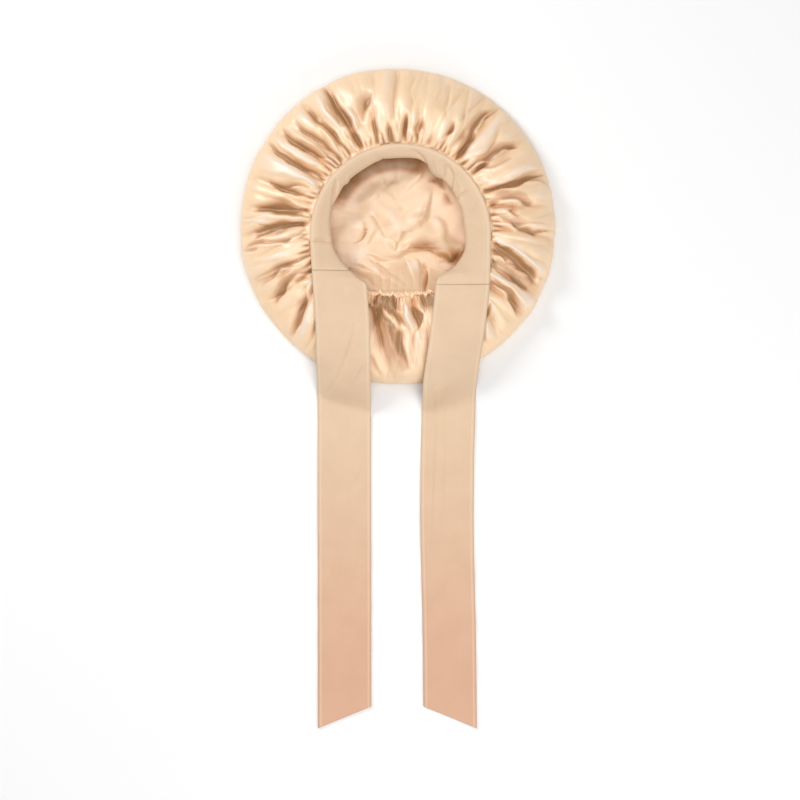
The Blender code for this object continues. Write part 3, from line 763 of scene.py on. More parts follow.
pulls = add_node(sheen, "TexNoise", Vector=pull, Scale=130.0, Detail=3.0, Roughness=0.6)["Fac"]
weave = add_node(sheen, "TexNoise", Vector=pull, Scale=1400.0, Detail=1.0)["Fac"]
patches = add_node(sheen, "TexNoise", Vector=place, Scale=24.0, Detail=3.0, Roughness=0.6)["Fac"]
# Painted highlight: the pale colour goes on crests, where the depth attribute is below zero, and in
# random patches.
patch = add_node(sheen, "MapRange", Value=patches, From_Min=0.45, From_Max=0.75, To_Max=0.35)
painted_crest_highlight = add_node(sheen, "MapRange", Value=painted_shading, From_Min=-0.1, From_Max=-0.9, To_Max=0.9)
painted_highlight_share = add_node(sheen, "Math", patch["Result"], painted_crest_highlight["Result"], operation="MAXIMUM")["Value"]
# Painted shade: the fold colour goes where the depth attribute is above zero, broken by the fine pulls.
fold = add_node(sheen, "MapRange", Value=painted_shading, From_Min=0.10, From_Max=0.9, To_Max=1.0)
streak = add_node(sheen, "MapRange", Value=pulls, From_Min=0.30, From_Max=0.60, To_Min=0.8)
painted_shade_share = add_node(sheen, "Math", fold["Result"], streak["Result"], operation="MULTIPLY")["Value"]
# Painted shadow: the shadow colour goes on the deepest roots of the folds.
root = add_node(sheen, "MapRange", Value=painted_shading, From_Min=0.84, From_Max=1.0, To_Max=0.55)
with_painted_highlight = mixed(sheen, painted_highlight_share, given["Colour"], given["Bloom Colour"])
with_painted_shade = mixed(sheen, painted_shade_share, with_painted_highlight, given["Deep Colour"])
shadow = mixed(sheen, root["Result"], with_painted_shade, SATIN_SHADOW)
gloss = add_node(sheen, "Math", pulls, 0.14, given["Lustre"], operation="MULTIPLY_ADD")["Value"]
relief = add_node(sheen, "Math", weave, 0.10, pulls, operation="MULTIPLY_ADD")["Value"]
end_surface(sheen, shadow, gloss, relief)


def satin(name):
    """Champagne satin: a smooth cloth with a soft metallic lustre."""
    colour, painted_shade_colour, lustre, relief_strength = SATINS[name]
    return cloth_material(
        name,
        sheen,
        relief_strength,
        SATIN_RELIEF_DEPTH,
        SATIN_LOOK,
        Colour=colour,
        Bloom_Colour=SATIN_PAINTED_HIGHLIGHT,
        Deep_Colour=painted_shade_colour,
        Lustre=lustre,
    )


# The crown's surface: its section turned round the bag, pressed in by the broad creases and
# the sharp folds, settled as slack cloth, and raised by the fine folds and gathers. Under
# the ties it lies below its smooth form, elsewhere it may stand out by SKIRT_ROOM.
bearings = np.arange(CROWN_SIDES) * 360 / CROWN_SIDES
rings = column(CROWN_SECTION, "rings").astype(int)[:-1]
outs, ups, folds = (read_section(CROWN_SECTION, name, rings) for name in ("out", "up", "fold"))
base = ring_points(outs, LOFT * ups - skirt_dip(bearings, outs), bearings)
away = grid_normals(base, wraps=True)
lines = stroke_field(*wandering(base[..., 0], base[..., 1]), SKIRT_LINES, CROWN_RADIUS, LINE_LIP)
pressed = folds * BROAD_SHARE * crease_field(bearings, outs)
pressed = pressed - LINE_SHARE * LINE_DEPTH * folds * lines * (ups > 0.12)
creased = base - away * pressed[..., None]
outwards = creased * (1, 1, 0) / np.hypot(creased[..., 0], creased[..., 1])[..., None]
loose = SKIRT_GROWTH * creased + SKIRT_SLACK * outwards
stiff = (np.arange(len(base)) < SKIRT_HELD_RINGS) | (ups[:, 0] < SKIRT_HELD_BELOW)
slack = settling(creased, loose, stiff, SKIRT_PRESSURE, SATIN_BENDING)
raised = gather_field(bearings, outs) + slack_field(bearings, outs) + fine_field(bearings, outs)
raised = raised * folds * smoothstep(0.12, 0.45, ups)
outer = creased + away * raised[..., None] + slack
height = ((outer - base) * away).sum(axis=-1)
flat = under_ties(base[..., 0], base[..., 1]) * (outs > 0)
room = SKIRT_ROOM * (1 - flat) - GAP * flat
outer = outer - away * np.maximum(height - room, 0)[..., None]
height = np.minimum(height, room)

# Painted shade for each place of the skirt: in its valleys, along its sharp folds, at the roots of its
# gathers and beneath the nape's frill; its crests get painted highlight.
level = evened(height, LEVEL_REACH, axis=1)
shade = LINE_SHADE * np.clip(-lines, 0, 1) * folds
shade = shade + VALLEY_SHADE * np.clip((level - height) / VALLEY_DEPTH, 0, 1)
shade = shade + GATHER_SHADE * gather_lines(bearings, outs) * folds
under_frill = nape_share(bearings) * (0.45 + 0.55 * np.sin(np.radians(11 * bearings + 95)))
under_frill = under_frill * np.exp(-(((outs - FRILL_SHADE_AT) / FRILL_SHADE_RUN) ** 2))
shade = shade + FRILL_SHADE * under_frill
painted_crest_highlights = np.clip((height - level) / CREST_HEIGHT, 0, 1) * folds

# The gathered edge laps inwards at the seam, and the flat underside closes the round.
lap = outer[0].copy()
lap[:, :2] *= (1 - SEAM_LAP / seam_radius(bearings))[:, None]
under = [outer[-1:] * (share, share, 1) for share in UNDER_SHARES]
outer = np.concatenate([lap[None], outer, *under])
away = np.concatenate([away[:1], away, *[away[-1:]] * len(under)])
away[:2] = (0, 0, 1)
away[-1 - len(under):] = (0, 0, -1)
outer[..., 2] = np.maximum(outer[..., 2], 0)
lower = outer - CROWN_WALL * away
lower[..., 2] = np.maximum(lower[..., 2], 0)
# The painted shade, with painted highlight as negative values, for the depth attribute.
painted_shade_and_highlight = np.zeros(outer.shape[:2])
painted_shade_and_highlight[1:-len(under)] = np.clip(shade, 0, 1) - painted_crest_highlights * (1 - np.clip(2 * shade, 0, 1))
crown = cloth_piece(
    "crown_satin_round",
    *bowl(outer, lower),
    satin("crown_satin"),
    pull=with_centre(pull_over(outer, bearings, *CROWN_PULL)),
    depth=with_centre(painted_shade_and_highlight),
)
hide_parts("crown")

# The lining
# The inner round of the same satin. It hangs from the same gathered seam, slumps towards
# the nape, and lies on the bottom of the bag in soft folds.
LINING_WALL = 0.0012
LINING_FLOOR = CROWN_WALL + GAP
LINING_SIDES = 420
SLUMP_SPREAD = (44.0, 88.0)
NAPE_GATHERS = 46
NAPE_GATHER_HEIGHT = 0.0015
NAPE_GATHER_RUN = 0.017
PANEL_RINGS = 60
WALL_FADE = 0.012
LINING_VALLEY = 0.0055
LINING_BENDING = 0.3
LINING_SLACK = 1.035
LINING_PRESSURE = -0.1
LINING_HELD_FIRST = 6
LINING_HELD_LAST = 3
LINING_LEVEL_AROUND = 8
LINING_LEVEL_ALONG = 3
PANEL_FOLD_HEIGHT = 0.0062

# The shade under the band's crumpled edge: how dark, from where to where as shares of
# MOUTH_RADIUS, its middle bearing, and how far off it the shade starts and is full.
BAND_SHADE = 1.2
BAND_SHADE_REACH = (0.58, 0.68)
BAND_SHADE_BEARING = 112
BAND_SHADE_SPREAD = (58, 34)

# The lining's section down its wall, at the sides and at the nape: out and up as for the
# crown's section, with up counted from LINING_FLOOR.
LINING_SECTION = (
    ("side_out", "side_up", "nape_out", "nape_up", "rings"),
    (0.000, 0.830, 0.000, 0.790, 4),
    (0.050, 0.690, -0.030, 0.560, 5),
    (0.200, 0.540, -0.100, 0.430, 5),
    (0.450, 0.470, -0.185, 0.300, 5),
    (0.700, 0.420, -0.260, 0.185, 4),
    (0.880, 0.300, -0.320, 0.095, 4),
    (0.915, 0.150, -0.375, 0.040, 4),
    (0.860, 0.000, -0.440, 0.000, 4),
)

# Folds on the lining's floor, seen through the mouth: both ends as shares of MOUTH_RADIUS
# from the crown's centre, bow how far the middle swings to the left of the way from the
# first end, height a share of PANEL_FOLD_HEIGHT, width a share of MOUTH_RADIUS.
PANEL_FOLDS = (
    ("x0", "y0", "x1", "y1", "bow", "height", "width"),
    (0.33, 0.36, 0.24, 0.04, 0.02, 0.90, 0.060),
    (0.27, 0.10, -0.04, -0.20, -0.04, 0.85, 0.070),
    (-0.32, -0.30, 0.16, -0.25, -0.04, 0.60, 0.065),
    (0.06, -0.26, 0.40, -0.23, 0.03, 1.10, 0.065),
    (0.34, -0.22, 0.56, -0.37, 0.03, 1.10, 0.060),
    (0.50, -0.38, 0.70, -0.28, -0.03, 0.80, 0.055),
    (-0.39, 0.02, -0.45, -0.20, 0.01, -0.60, 0.030),
    (-0.30, 0.10, -0.40, -0.24, 0.02, 0.50, 0.070),
    (-0.28, 0.08, -0.02, -0.14, -0.03, -0.45, 0.050),
    (-0.24, -0.02, 0.02, 0.16, -0.02, 0.55, 0.080),
    (-0.14, 0.44, 0.02, 0.50, 0.02, -0.40, 0.050),
    (-0.52, 0.24, -0.18, 0.44, -0.05, 0.50, 0.080),
    (0.42, 0.10, 0.50, -0.18, 0.03, 0.60, 0.070),
    (0.06, 0.34, 0.28, 0.58, 0.03, 0.60, 0.060),
    (-0.55, -0.46, -0.04, -0.76, 0.03, -0.60, 0.032),
    (-0.42, -0.40, 0.02, -0.72, 0.03, 0.60, 0.045),
    (-0.30, -0.38, 0.08, -0.70, 0.02, -0.50, 0.030),
    (0.33, -0.46, 0.32, -0.74, 0.01, -1.00, 0.034),
    (0.24, -0.44, 0.24, -0.72, -0.01, 0.70, 0.055),
    (0.12, -0.40, 0.16, -0.72, 0.01, -0.50, 0.030),
)

# Long soft waves of the slack lining: heading in degrees from +X, length between crests a
# share of MOUTH_RADIUS, height a share of PANEL_FOLD_HEIGHT, start the phase at the centre.
LINING_WAVES = (
    ("heading", "length", "height", "start"),
    (38.0, 0.52, 0.11, 0.4),
    (102.0, 0.41, 0.07, 2.6),
    (-22.0, 0.30, 0.05, 1.1),
    (64.0, 0.19, 0.025, 5.2),
)

# Painted shade where the photo shows the lining dark, beside its folds and under the band's crumpled
# edge, and painted highlight where it shows it pale: places as for PANEL_FOLDS, height how much painted
# shade there, or with a minus how much painted highlight.
LINING_SHADES = (
    ("x0", "y0", "x1", "y1", "bow", "height", "width"),
    (0.14, -0.24, 0.46, -0.26, 0.03, 1.10, 0.048),
    (-0.20, -0.31, 0.14, -0.27, -0.03, 0.45, 0.022),
    (0.44, -0.31, 0.58, -0.40, -0.01, 0.95, 0.032),
    (0.57, -0.40, 0.67, -0.30, -0.02, 1.10, 0.032),
    (0.34, 0.49, 0.53, 0.42, 0.01, 1.20, 0.045),
    (0.55, 0.38, 0.61, 0.28, 0.00, 1.10, 0.030),
    (0.34, -0.52, 0.33, -0.74, 0.01, 1.10, 0.024),
    (0.32, 0.30, 0.24, 0.04, 0.01, 0.60, 0.022),
    (0.22, 0.02, 0.06, -0.17, -0.03, 0.35, 0.045),
    (-0.37, 0.00, -0.43, -0.20, 0.01, 0.75, 0.018),
    (-0.30, -0.02, -0.08, 0.12, -0.02, 0.30, 0.040),
    (-0.16, 0.49, 0.02, 0.49, 0.00, 0.40, 0.040),
    (-0.55, -0.42, -0.20, -0.70, 0.03, 0.50, 0.022),
    (-0.26, -0.40, 0.04, -0.74, -0.03, 0.35, 0.030),
    (-0.52, -0.30, -0.40, -0.42, 0.00, -0.90, 0.080),
    (-0.50, -0.02, -0.40, 0.00, 0.00, -0.80, 0.050),
    (0.06, 0.02, -0.12, -0.14, -0.02, -0.80, 0.070),
    (0.18, -0.38, 0.27, -0.50, 0.00, -0.90, 0.070),
    (-0.06, 0.24, 0.02, 0.10, 0.00, -0.60, 0.070),
    (0.42, 0.22, 0.40, -0.05, 0.02, -0.50, 0.080),
)


def panel_height(x, y):
    """Height of the folds on the lining's floor above the place where it lies flat."""
    folds_there = stroke_field(*wandering(x, y), PANEL_FOLDS, MOUTH_RADIUS)
    folds_there = np.minimum(folds_there, 1.3)
    ripple = 0.45
    for heading, length, tall, start in LINING_WAVES[1:]:
        way = np.radians(heading)
        ahead = (x * np.cos(way) + y * np.sin(way)) / MOUTH_RADIUS
        aside = (y * np.cos(way) - x * np.sin(way)) / MOUTH_RADIUS
        bent = ahead / length + 0.22 * np.sin(4.5 * aside + start) + 0.1 * np.sin(11 * aside)
        ripple = ripple + tall * np.sin(2 * np.pi * bent + start)
    fade = 1 - smoothstep(0.74, 1.05, np.hypot(x, y) / MOUTH_RADIUS)
    return PANEL_FOLD_HEIGHT * np.maximum(folds_there + ripple, 0) * fade


def nape_gathers(x, y):
    """The small folds that fan out from the nape's elastic and die away on the slope."""
    inside = y + NAPE_DISTANCE
    fan = np.arctan2(x + 0.012, y + 1.7 * NAPE_DISTANCE)
    phase = NAPE_GATHERS * fan + 2.2 * np.sin(38 * x + 1) + 1.1 * np.sin(95 * x + 20 * y)
    run = NAPE_GATHER_RUN * (1 + 0.35 * np.sin(70 * x + 2))
    strong = 0.25 + 0.75 * smoothstep(0.005, -0.030, x) + 0.3 * smoothstep(0.015, 0.040, x)
    return -NAPE_GATHER_HEIGHT * strong * ridge(phase) * np.exp(-((inside / run) ** 2))


bearings = np.arange(LINING_SIDES) * 360 / LINING_SIDES
nape = 1 - smoothstep(*SLUMP_SPREAD, np.abs(turned(bearings - 270)))
rings = column(LINING_SECTION, "rings").astype(int)[:-1]
side_out, side_up, nape_out, nape_up = (
    read_section(LINING_SECTION, name, rings) for name in LINING_SECTION[0][:4]
)
outs = side_out + (nape_out - side_out) * nape
ups = side_up + (nape_up - side_up) * nape
walls = ring_points(outs, ups * (LOFT - LINING_FLOOR) + LINING_FLOOR, bearings)[2:]
edge_radius = seam_radius(bearings) - SEAM_LAP
edge = polar_points(edge_radius, bearings, seam_height(bearings) - CROWN_WALL - GAP)
floor_radius = np.hypot(walls[-1, :, 0], walls[-1, :, 1])
panel_radius = np.linspace(1, 0.03, PANEL_RINGS)[1:, None] * floor_radius
panel = polar_points(panel_radius, bearings, LINING_FLOOR)
x, y = panel[..., 0], panel[..., 1]
panel[..., 2] += panel_height(x, y) + np.maximum(nape_gathers(x, y), 0)
x, y, z = np.moveaxis(walls[1:], -1, 0)
lift = nape_gathers(x, y) + panel_height(x, y) * np.exp((LINING_FLOOR - z) / WALL_FADE)
walls[1:, :, 2] = np.maximum(z + lift, LINING_FLOOR)
under_side = np.concatenate([edge[None], walls, panel])
ring = np.arange(len(under_side))
stiff = (ring < LINING_HELD_FIRST) | (ring >= len(ring) - LINING_HELD_LAST)
loose = under_side * (LINING_SLACK, LINING_SLACK, 1)
under_side = under_side + settling(under_side, loose, stiff, LINING_PRESSURE, LINING_BENDING)
under_side[1:, :, 2] = np.maximum(under_side[1:, :, 2], LINING_FLOOR)
away = grid_normals(under_side, wraps=True)
away[0] = (0, 0, 1)
shown_side = under_side - LINING_WALL * away

# Painted shade for each place of the lining: in its hollows, under the band's crumpled edge, and what
# LINING_SHADES adds, with painted highlight where its heights are negative.
x, y, z = np.moveaxis(shown_side, -1, 0)
level = evened(evened(z, LINING_LEVEL_AROUND, axis=1), LINING_LEVEL_ALONG, axis=0)
bearing = np.degrees(np.arctan2(y, x))
in_shade = smoothstep(*BAND_SHADE_REACH, np.hypot(x, y) / MOUTH_RADIUS)
in_shade = in_shade * smoothstep(*BAND_SHADE_SPREAD, np.abs(bearing - BAND_SHADE_BEARING))
painted_shade_and_highlight = np.clip((level - z) / LINING_VALLEY, 0, 1)
painted_shade_and_highlight = np.clip(painted_shade_and_highlight + BAND_SHADE * in_shade, 0, 1)
shaded = stroke_field(*wandering(x, y), LINING_SHADES, MOUTH_RADIUS)
painted_shade_and_highlight = np.clip(np.maximum(painted_shade_and_highlight, shaded) + np.minimum(shaded, 0), -1, 1)
painted_shade_and_highlight[-4:] = 0
lining = cloth_piece(
    "lining_satin_round",
    *bowl(under_side, shown_side),
    satin("lining_satin"),
    pull=with_centre(pull_over(under_side, bearings, *LINING_PULL)),
    depth=with_centre(painted_shade_and_highlight),
)
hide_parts("lining")

# The head band
# A wide knitted band that binds the front and sides of the mouth. It is sewn on along its
# outer edge; its other edge droops into the hollow, where most of it is tucked back under.
BAND_WIDTH = 0.0615
BAND_WALL = 0.0022
TIE_REACH = 0.580
TIE_POINT = 0.027
LAP_BEND = 0.13
CURL_BEND = 0.09
TUCKED_HEADING = 160.0
LEFT_JOIN, RIGHT_JOIN = 203.0, -32.0
CUT_SPREAD = 4.0
DRAPE_RADIUS = 0.030
DRAPE_EASE = 0.008
PUFF_HEIGHT = 0.0022
CASING_HEIGHT = 0.0050
CASING_SPREAD = 37.0
STRIP_SAMPLES = 1500
BAND_STATIONS = 420
WALK = np.linspace(0, 1, 81)
STRIP_PICKED = np.arange(0, len(WALK), 2)
HEM_INSET = 0.0033
HEM_HEIGHT = 0.00035
STITCH_WIDTH = 0.0009
UPPER_SHARE = 0.6
UNEVEN_HEIGHT = 0.0005
JOIN_DEPTH = 0.0006
JOIN_WIDTH = 0.0016

# The band's sections by turn, the bearing about MOUTH_CENTRE, which runs on down the
# straight sides at the same pace. Tilt is how far its shown part leans into the mouth, in
# degrees, fold the share of BAND_WIDTH past which the rest is tucked back under, and drop
# how far it reaches down, as a share of the way from the seam to the lining's floor.
BAND_SECTIONS = (
    ("turn", "tilt", "fold", "drop"),
    (-46.0, 0.0, 1.00, 0.00),
    (-36.0, 2.0, 1.00, 0.03),
    (-27.0, 9.0, 0.90, 0.22),
    (-19.0, 17.0, 0.66, 0.50),
    (-7.0, 22.0, 0.51, 0.66),
    (8.0, 23.0, 0.53, 0.66),
    (25.0, 24.0, 0.49, 0.68),
    (46.0, 26.0, 0.45, 0.70),
    (66.0, 27.0, 0.36, 0.72),
    (80.0, 27.0, 0.28, 0.74),
    (92.0, 27.0, 0.28, 0.74),
    (120.0, 26.0, 0.31, 0.73),
    (150.0, 25.0, 0.34, 0.72),
    (178.0, 23.0, 0.42, 0.69),
    (188.0, 21.0, 0.46, 0.66),
    (197.0, 17.0, 0.58, 0.54),
    (205.0, 11.0, 0.78, 0.32),
    (212.0, 5.0, 0.93, 0.13),
    (220.0, 0.0, 1.00, 0.00),
    (230.0, 0.0, 1.00, 0.00),
)

# The outer edge of the straight sides and ties: along is the share of the way from the
# mouth's widest place to the tie's point, left and right the shares of MOUTH_RADIUS.
SIDE_EDGES = (
    ("along", "left", "right"),
    (0.00, 1.000, 1.000),
    (0.10, 0.968, 0.985),
    (0.20, 0.936, 0.925),
    (0.31, 0.931, 0.850),
    (0.57, 0.930, 0.824),
    (0.82, 0.928, 0.850),
    (1.00, 0.928, 0.860),
)

# Wrinkles of the strip, as shares of MOUTH_RADIUS: run is the distance along the strip from
# the middle of the forehead, to the left positive, and in the distance from its outer edge.
# Negative heights are creases, in shares of WRINKLE_HEIGHT.
WRINKLE_HEIGHT = 0.0028
STRIP_WRINKLES = (
    ("x0", "y0", "x1", "y1", "bow", "height", "width"),
    (2.55, 0.44, 3.30, 0.12, 0.05, -0.60, 0.030),
    (2.70, 0.52, 3.20, 0.20, 0.05, 0.45, 0.040),
    (3.02, 0.52, 3.20, 0.44, 0.00, -0.50, 0.022),
    (4.10, 0.54, 4.42, 0.38, 0.02, -0.60, 0.024),
    (4.20, 0.50, 4.50, 0.30, 0.02, 0.35, 0.035),
    (4.84, 0.50, 5.50, 0.42, 0.02, -0.30, 0.030),
    (5.72, 0.52, 5.92, 0.40, 0.00, -0.45, 0.022),
    (-3.25, 0.47, -4.90, 0.48, 0.01, -0.70, 0.035),
    (-3.25, 0.36, -4.90, 0.37, 0.01, 0.35, 0.050),
    (-5.30, 0.30, -5.90, 0.46, 0.02, -0.25, 0.035),
    (1.66, 0.04, 1.66, 0.24, 0.01, -1.10, 0.020),
    (1.61, 0.06, 1.62, 0.24, 0.01, 0.50, 0.020),
    (0.88, 0.07, 1.34, 0.22, 0.03, -1.10, 0.018),
    (0.90, 0.12, 1.34, 0.26, 0.03, 0.90, 0.030),
    (-0.15, 0.06, -0.42, 0.24, 0.02, -1.10, 0.022),
    (-0.40, 0.10, -0.62, 0.26, -0.02, 1.30, 0.030),
    (-0.52, 0.06, -0.66, 0.22, 0.02, -0.90, 0.016),
    (-0.62, 0.08, -0.86, 0.26, 0.02, -1.20, 0.022),
    (-0.74, 0.14, -0.90, 0.24, 0.00, 0.90, 0.020),
    (-0.80, 0.12, -1.10, 0.28, 0.02, 0.90, 0.026),
    (-0.98, 0.12, -1.02, 0.28, 0.00, -0.80, 0.018),
    (-1.18, 0.10, -1.30, 0.28, 0.00, -0.45, 0.026),
    (0.30, 0.10, 0.20, 0.22, 0.00, -0.35, 0.026),
    (0.75, 0.14, 0.95, 0.24, 0.03, 0.60, 0.026),
    (0.95, 0.10, 1.20, 0.22, 0.00, -0.35, 0.028),
)


def base_height(out, bearing):
    """The skirt's height before it is creased, read from the crown's section."""
    down_to_rim = CROWN_SECTION[:column(CROWN_SECTION, "out").argmax() + 2]
    return LOFT * read_smoothly(down_to_rim, "out", "up", out) - skirt_dip(bearing, out)


def casing_taper(bearing):
    """How full the casing is: 1 along the nape, 0 from CASING_SPREAD degrees to its sides."""
    return smoothstep(0, 0.12, 1 - np.abs(turned(bearing - 270)) / CASING_SPREAD)


def edge_and_inward(turn):
    """The strip's outer edge in plan and the way across it towards the free edge."""
    angle = np.radians(np.clip(turn, 0, 180))
    outline = np.stack([np.cos(angle), np.sin(angle)], axis=-1)
    inward = -outline
    below = np.radians(np.maximum(turn - 180, 0) + np.maximum(-turn, 0)) * MOUTH_RADIUS
    length = TIE_REACH + MOUTH_CENTRE[1]
    left = read_smoothly(SIDE_EDGES, "along", "left", below / length)
    right = read_smoothly(SIDE_EDGES, "along", "right", below / length)
    on_side = below > 0
    outline[:, 0] = np.where(on_side, np.where(turn > 90, -left, right), outline[:, 0])
    plan = outline * (MOUTH_RADIUS - GAP) + MOUTH_CENTRE
    plan[:, 1] = np.where(on_side, MOUTH_CENTRE[1] - below, plan[:, 1])
    return plan, inward


def turn_of_reach(side):
    """The turn at which a side's outer edge gets to its tie's point."""
    degrees = np.degrees((TIE_REACH + MOUTH_CENTRE[1]) / MOUTH_RADIUS)
    return 180 + degrees if side == "left" else -degrees


def support_height(x, y):
    """Height of what the strip lies on: the puffed skirt, the casing or the table."""
    bearing = np.degrees(np.arctan2(y, x))
    seam, rim = seam_radius(bearing), rim_radius(bearing)
    out = (np.hypot(x, y) - seam) / (rim - seam)
    puffs = PUFF_HEIGHT * np.exp(-(((out - 0.09) / 0.12) ** 2)) * smoothstep(0, 0.05, out)
    skirt = base_height(np.clip(out, 0, 1), bearing) + puffs
    inside = seam_height(bearing) + np.where(casing_taper(bearing) > 0, GAP + CASING_HEIGHT, 0)
    return np.where(out > 1, 0, np.where(out > 0, np.maximum(skirt, inside * (out < 0.08)), inside))


def band_profile(turns):
    """How far in and how far down the strip's sections have got along WALK.

    Each section is walked from the seam by its heading, so the cloth keeps its full width.
    """
    tilt = np.radians(read_smoothly(BAND_SECTIONS, "turn", "tilt", turns))[:, None]
    fold = read_smoothly(BAND_SECTIONS, "turn", "fold", turns)[:, None]
    drop = read_smoothly(BAND_SECTIONS, "turn", "drop", turns)
    lap = (SEAM_LAP - GAP) / BAND_WIDTH
    curl = (np.radians(TUCKED_HEADING) - tilt) * smoothstep(0.02, 0.20, 1 - fold)
    heading = tilt * smoothstep(lap, lap + LAP_BEND, WALK)
    heading = heading + curl * smoothstep(fold - CURL_BEND, fold + CURL_BEND, WALK)
    step = BAND_WIDTH * WALK[1]
    inward = np.zeros(heading.shape)
    down = np.zeros(heading.shape)
    inward[:, 1:] = np.cumsum(np.cos(heading[:, 1:]), axis=1) * step
    down[:, 1:] = np.cumsum(np.sin(heading[:, 1:]), axis=1) * step
    hollow = CROWN_SECTION[1][1] * LOFT - LINING_FLOOR - LINING_WALL - GAP
    down *= (drop * hollow / np.maximum(down.max(axis=1), 1e-6))[:, None]
    return inward, down, drop


def strip_surface():
    """The whole strip from point to point: fine turns, its middle surface and normals."""
    fine = np.linspace(turn_of_reach("right"), turn_of_reach("left"), STRIP_SAMPLES)
    plan, across = edge_and_inward(fine)
    inward, down, drop = band_profile(fine)
    along = np.radians(fine) * MOUTH_RADIUS
    near = np.abs(along[:, None] - along[None, :])
    kernel = np.exp(-((near / DRAPE_EASE) ** 2))
    kernel /= kernel.sum(axis=1, keepdims=True)
    parabola = near**2 / (2 * DRAPE_RADIUS)
    lying = 1 - smoothstep(0.0, 0.22, drop)
    on_side = (fine < 0) | (fine > 180)
    surface = []
    for col in STRIP_PICKED:
        xy = plan + across * inward[:, col:col + 1]
        past_nape = -(xy[:, 1] + NAPE_DISTANCE) / TIE_REACH
        xy[:, 1] += np.where(on_side, TIE_POINT * WALK[col] * smoothstep(0.1, 1.0, past_nape), 0)
        held = support_height(xy[:, 0], xy[:, 1])
        draped = kernel @ np.maximum((held[None, :] - parabola).max(axis=1), 0)
        draped += (GAP + DRAPE_EASE**2 / (4 * DRAPE_RADIUS)) * smoothstep(0, LOFT / 10, draped)
        if col == 0:
            seam = draped
        height = draped * lying + (seam - down[:, col]) * (1 - lying)
        surface.append(np.column_stack([xy, height + BAND_WALL / 2]))
    surface = np.stack(surface, axis=1)
    normals = grid_normals(surface, wraps=False)
    for seam_turn in (LEFT_JOIN, RIGHT_JOIN):
        square_cut = np.exp(-(((fine - seam_turn) / CUT_SPREAD) ** 2))
        normals[..., 1] *= 1 - square_cut[:, None]
    normals /= np.linalg.norm(normals, axis=-1, keepdims=True)
    return fine, surface, normals


def strip_relief(turns, shares):
    """Height of the strip's hems, wrinkles and sewn joins above its smooth surface."""
    run = np.radians(turns - 90)[:, None]
    across = (shares * BAND_WIDTH)[None, :]
    relief_there = WRINKLE_HEIGHT * stroke_field(run, across / MOUTH_RADIUS, STRIP_WRINKLES, 1.0)
    for inset in (HEM_INSET, BAND_WIDTH - HEM_INSET):
        relief_there = relief_there + HEM_HEIGHT * np.exp(-(((across - inset) / STITCH_WIDTH) ** 2))
    relief_there = relief_there + UNEVEN_HEIGHT * np.sin(7.3 * run + 3 * np.sin(2.1 * run) + 60 * across)
    for seam_turn in (LEFT_JOIN, RIGHT_JOIN):
        away_from = np.radians(turns - seam_turn)[:, None] * MOUTH_RADIUS
        relief_there = relief_there - JOIN_DEPTH * np.exp(-np.abs(away_from / JOIN_WIDTH) ** 1.5)
    return relief_there


def strip_piece(name, turns, material):
    """A stretch of the strip between two turns, as a piece of cloth with a wall.

    Its upper skin stays UPPER_SHARE of a wall above the table, and its lower one on it.
    """
    fine, surface, normals = strip
    lines_there = np.concatenate([surface, normals], axis=-1).reshape(len(fine), -1).T
    read = np.stack([np.interp(turns, fine, line) for line in lines_there], axis=1)
    middle, towards = np.split(read.reshape(len(turns), -1, 6), 2, axis=-1)
    shares = WALK[STRIP_PICKED]
    middle = middle + towards * strip_relief(turns, shares)[..., None]
    skins = (middle + towards * BAND_WALL / 2, middle - towards * BAND_WALL / 2)
    for grid, lowest in zip(skins, (UPPER_SHARE * BAND_WALL, 0)):
        grid[..., 2] = np.maximum(grid[..., 2], lowest)
    rows, columns = middle.shape[:2]
    skin = rows * columns
    corner = np.arange(rows - 1)[:, None] * columns + np.arange(columns - 1)[None, :]
    quads = np.stack([corner, corner + columns, corner + columns + 1, corner + 1], axis=-1)
    quads = quads.reshape(-1, 4)
    top = np.arange(columns)
    down = np.arange(rows) * columns
    border = [down[:-1], down[-1] + top[:-1], down[:0:-1] + columns - 1, top[:0:-1]]
    border = np.concatenate(border)
    after = np.roll(border, -1)
    sides = np.stack([after, border, border + skin, after + skin], axis=-1)
    faces = np.concatenate([quads, quads[:, ::-1] + skin, sides])
    points = np.concatenate([grid.reshape(-1, 3) for grid in skins])
    run = np.radians(turns)[:, None] * MOUTH_RADIUS
    across, run = np.broadcast_arrays(shares * BAND_WIDTH, run)
    cloth = np.stack([across, run, 0 * run], axis=-1).reshape(-1, 3)
    faces = [tuple(face) for face in faces.tolist()]
    return cloth_piece(name, points, faces, material, strip=np.concatenate([cloth, cloth]))


# The knit's surface: the strip attribute holds the distance across the strip and along it,
# in metres. Fine ribs run along it, and a pale line of stitches runs inside each edge.
KNIT_BEIGE = (0.765, 0.56, 0.378, 1.0)
KNIT_SALMON = (0.70, 0.415, 0.275, 1.0)
KNIT_HEM = (0.88, 0.70, 0.54, 1.0)
KNIT_MOTTLE = (0.90, 0.87, 0.84, 1.0)
KNIT_NAP = 0.55
KNIT_RELIEF = 0.22
KNIT_RELIEF_DEPTH = 0.0004
KNIT_LOOK = {"Specular_IOR_Level": 0.35, "Sheen_Weight": 0.15, "Sheen_Roughness": 0.5}
matte, given = add_surface(
    "knit_surface",
    (("Colour", "Color"), ("End Colour", "Color"), ("Hem Colour", "Color"), ("Nap", "Float")),
)
cloth_at = add_node(matte, "Attribute", attribute_name="strip")["Vector"]
here = add_node(matte, "TexCoord")["Object"]
across = add_node(matte, "SeparateXYZ", cloth_at)["X"]
towards_end = add_node(matte, "SeparateXYZ", here)["Y"]
ribs = add_node(matte, "TexWave", Vector=cloth_at, Scale=240.0, Distortion=1.2, Detail=1.0)["Fac"]
loops = add_node(matte, "TexNoise", Vector=cloth_at, Scale=900.0, Detail=2.0)["Fac"]
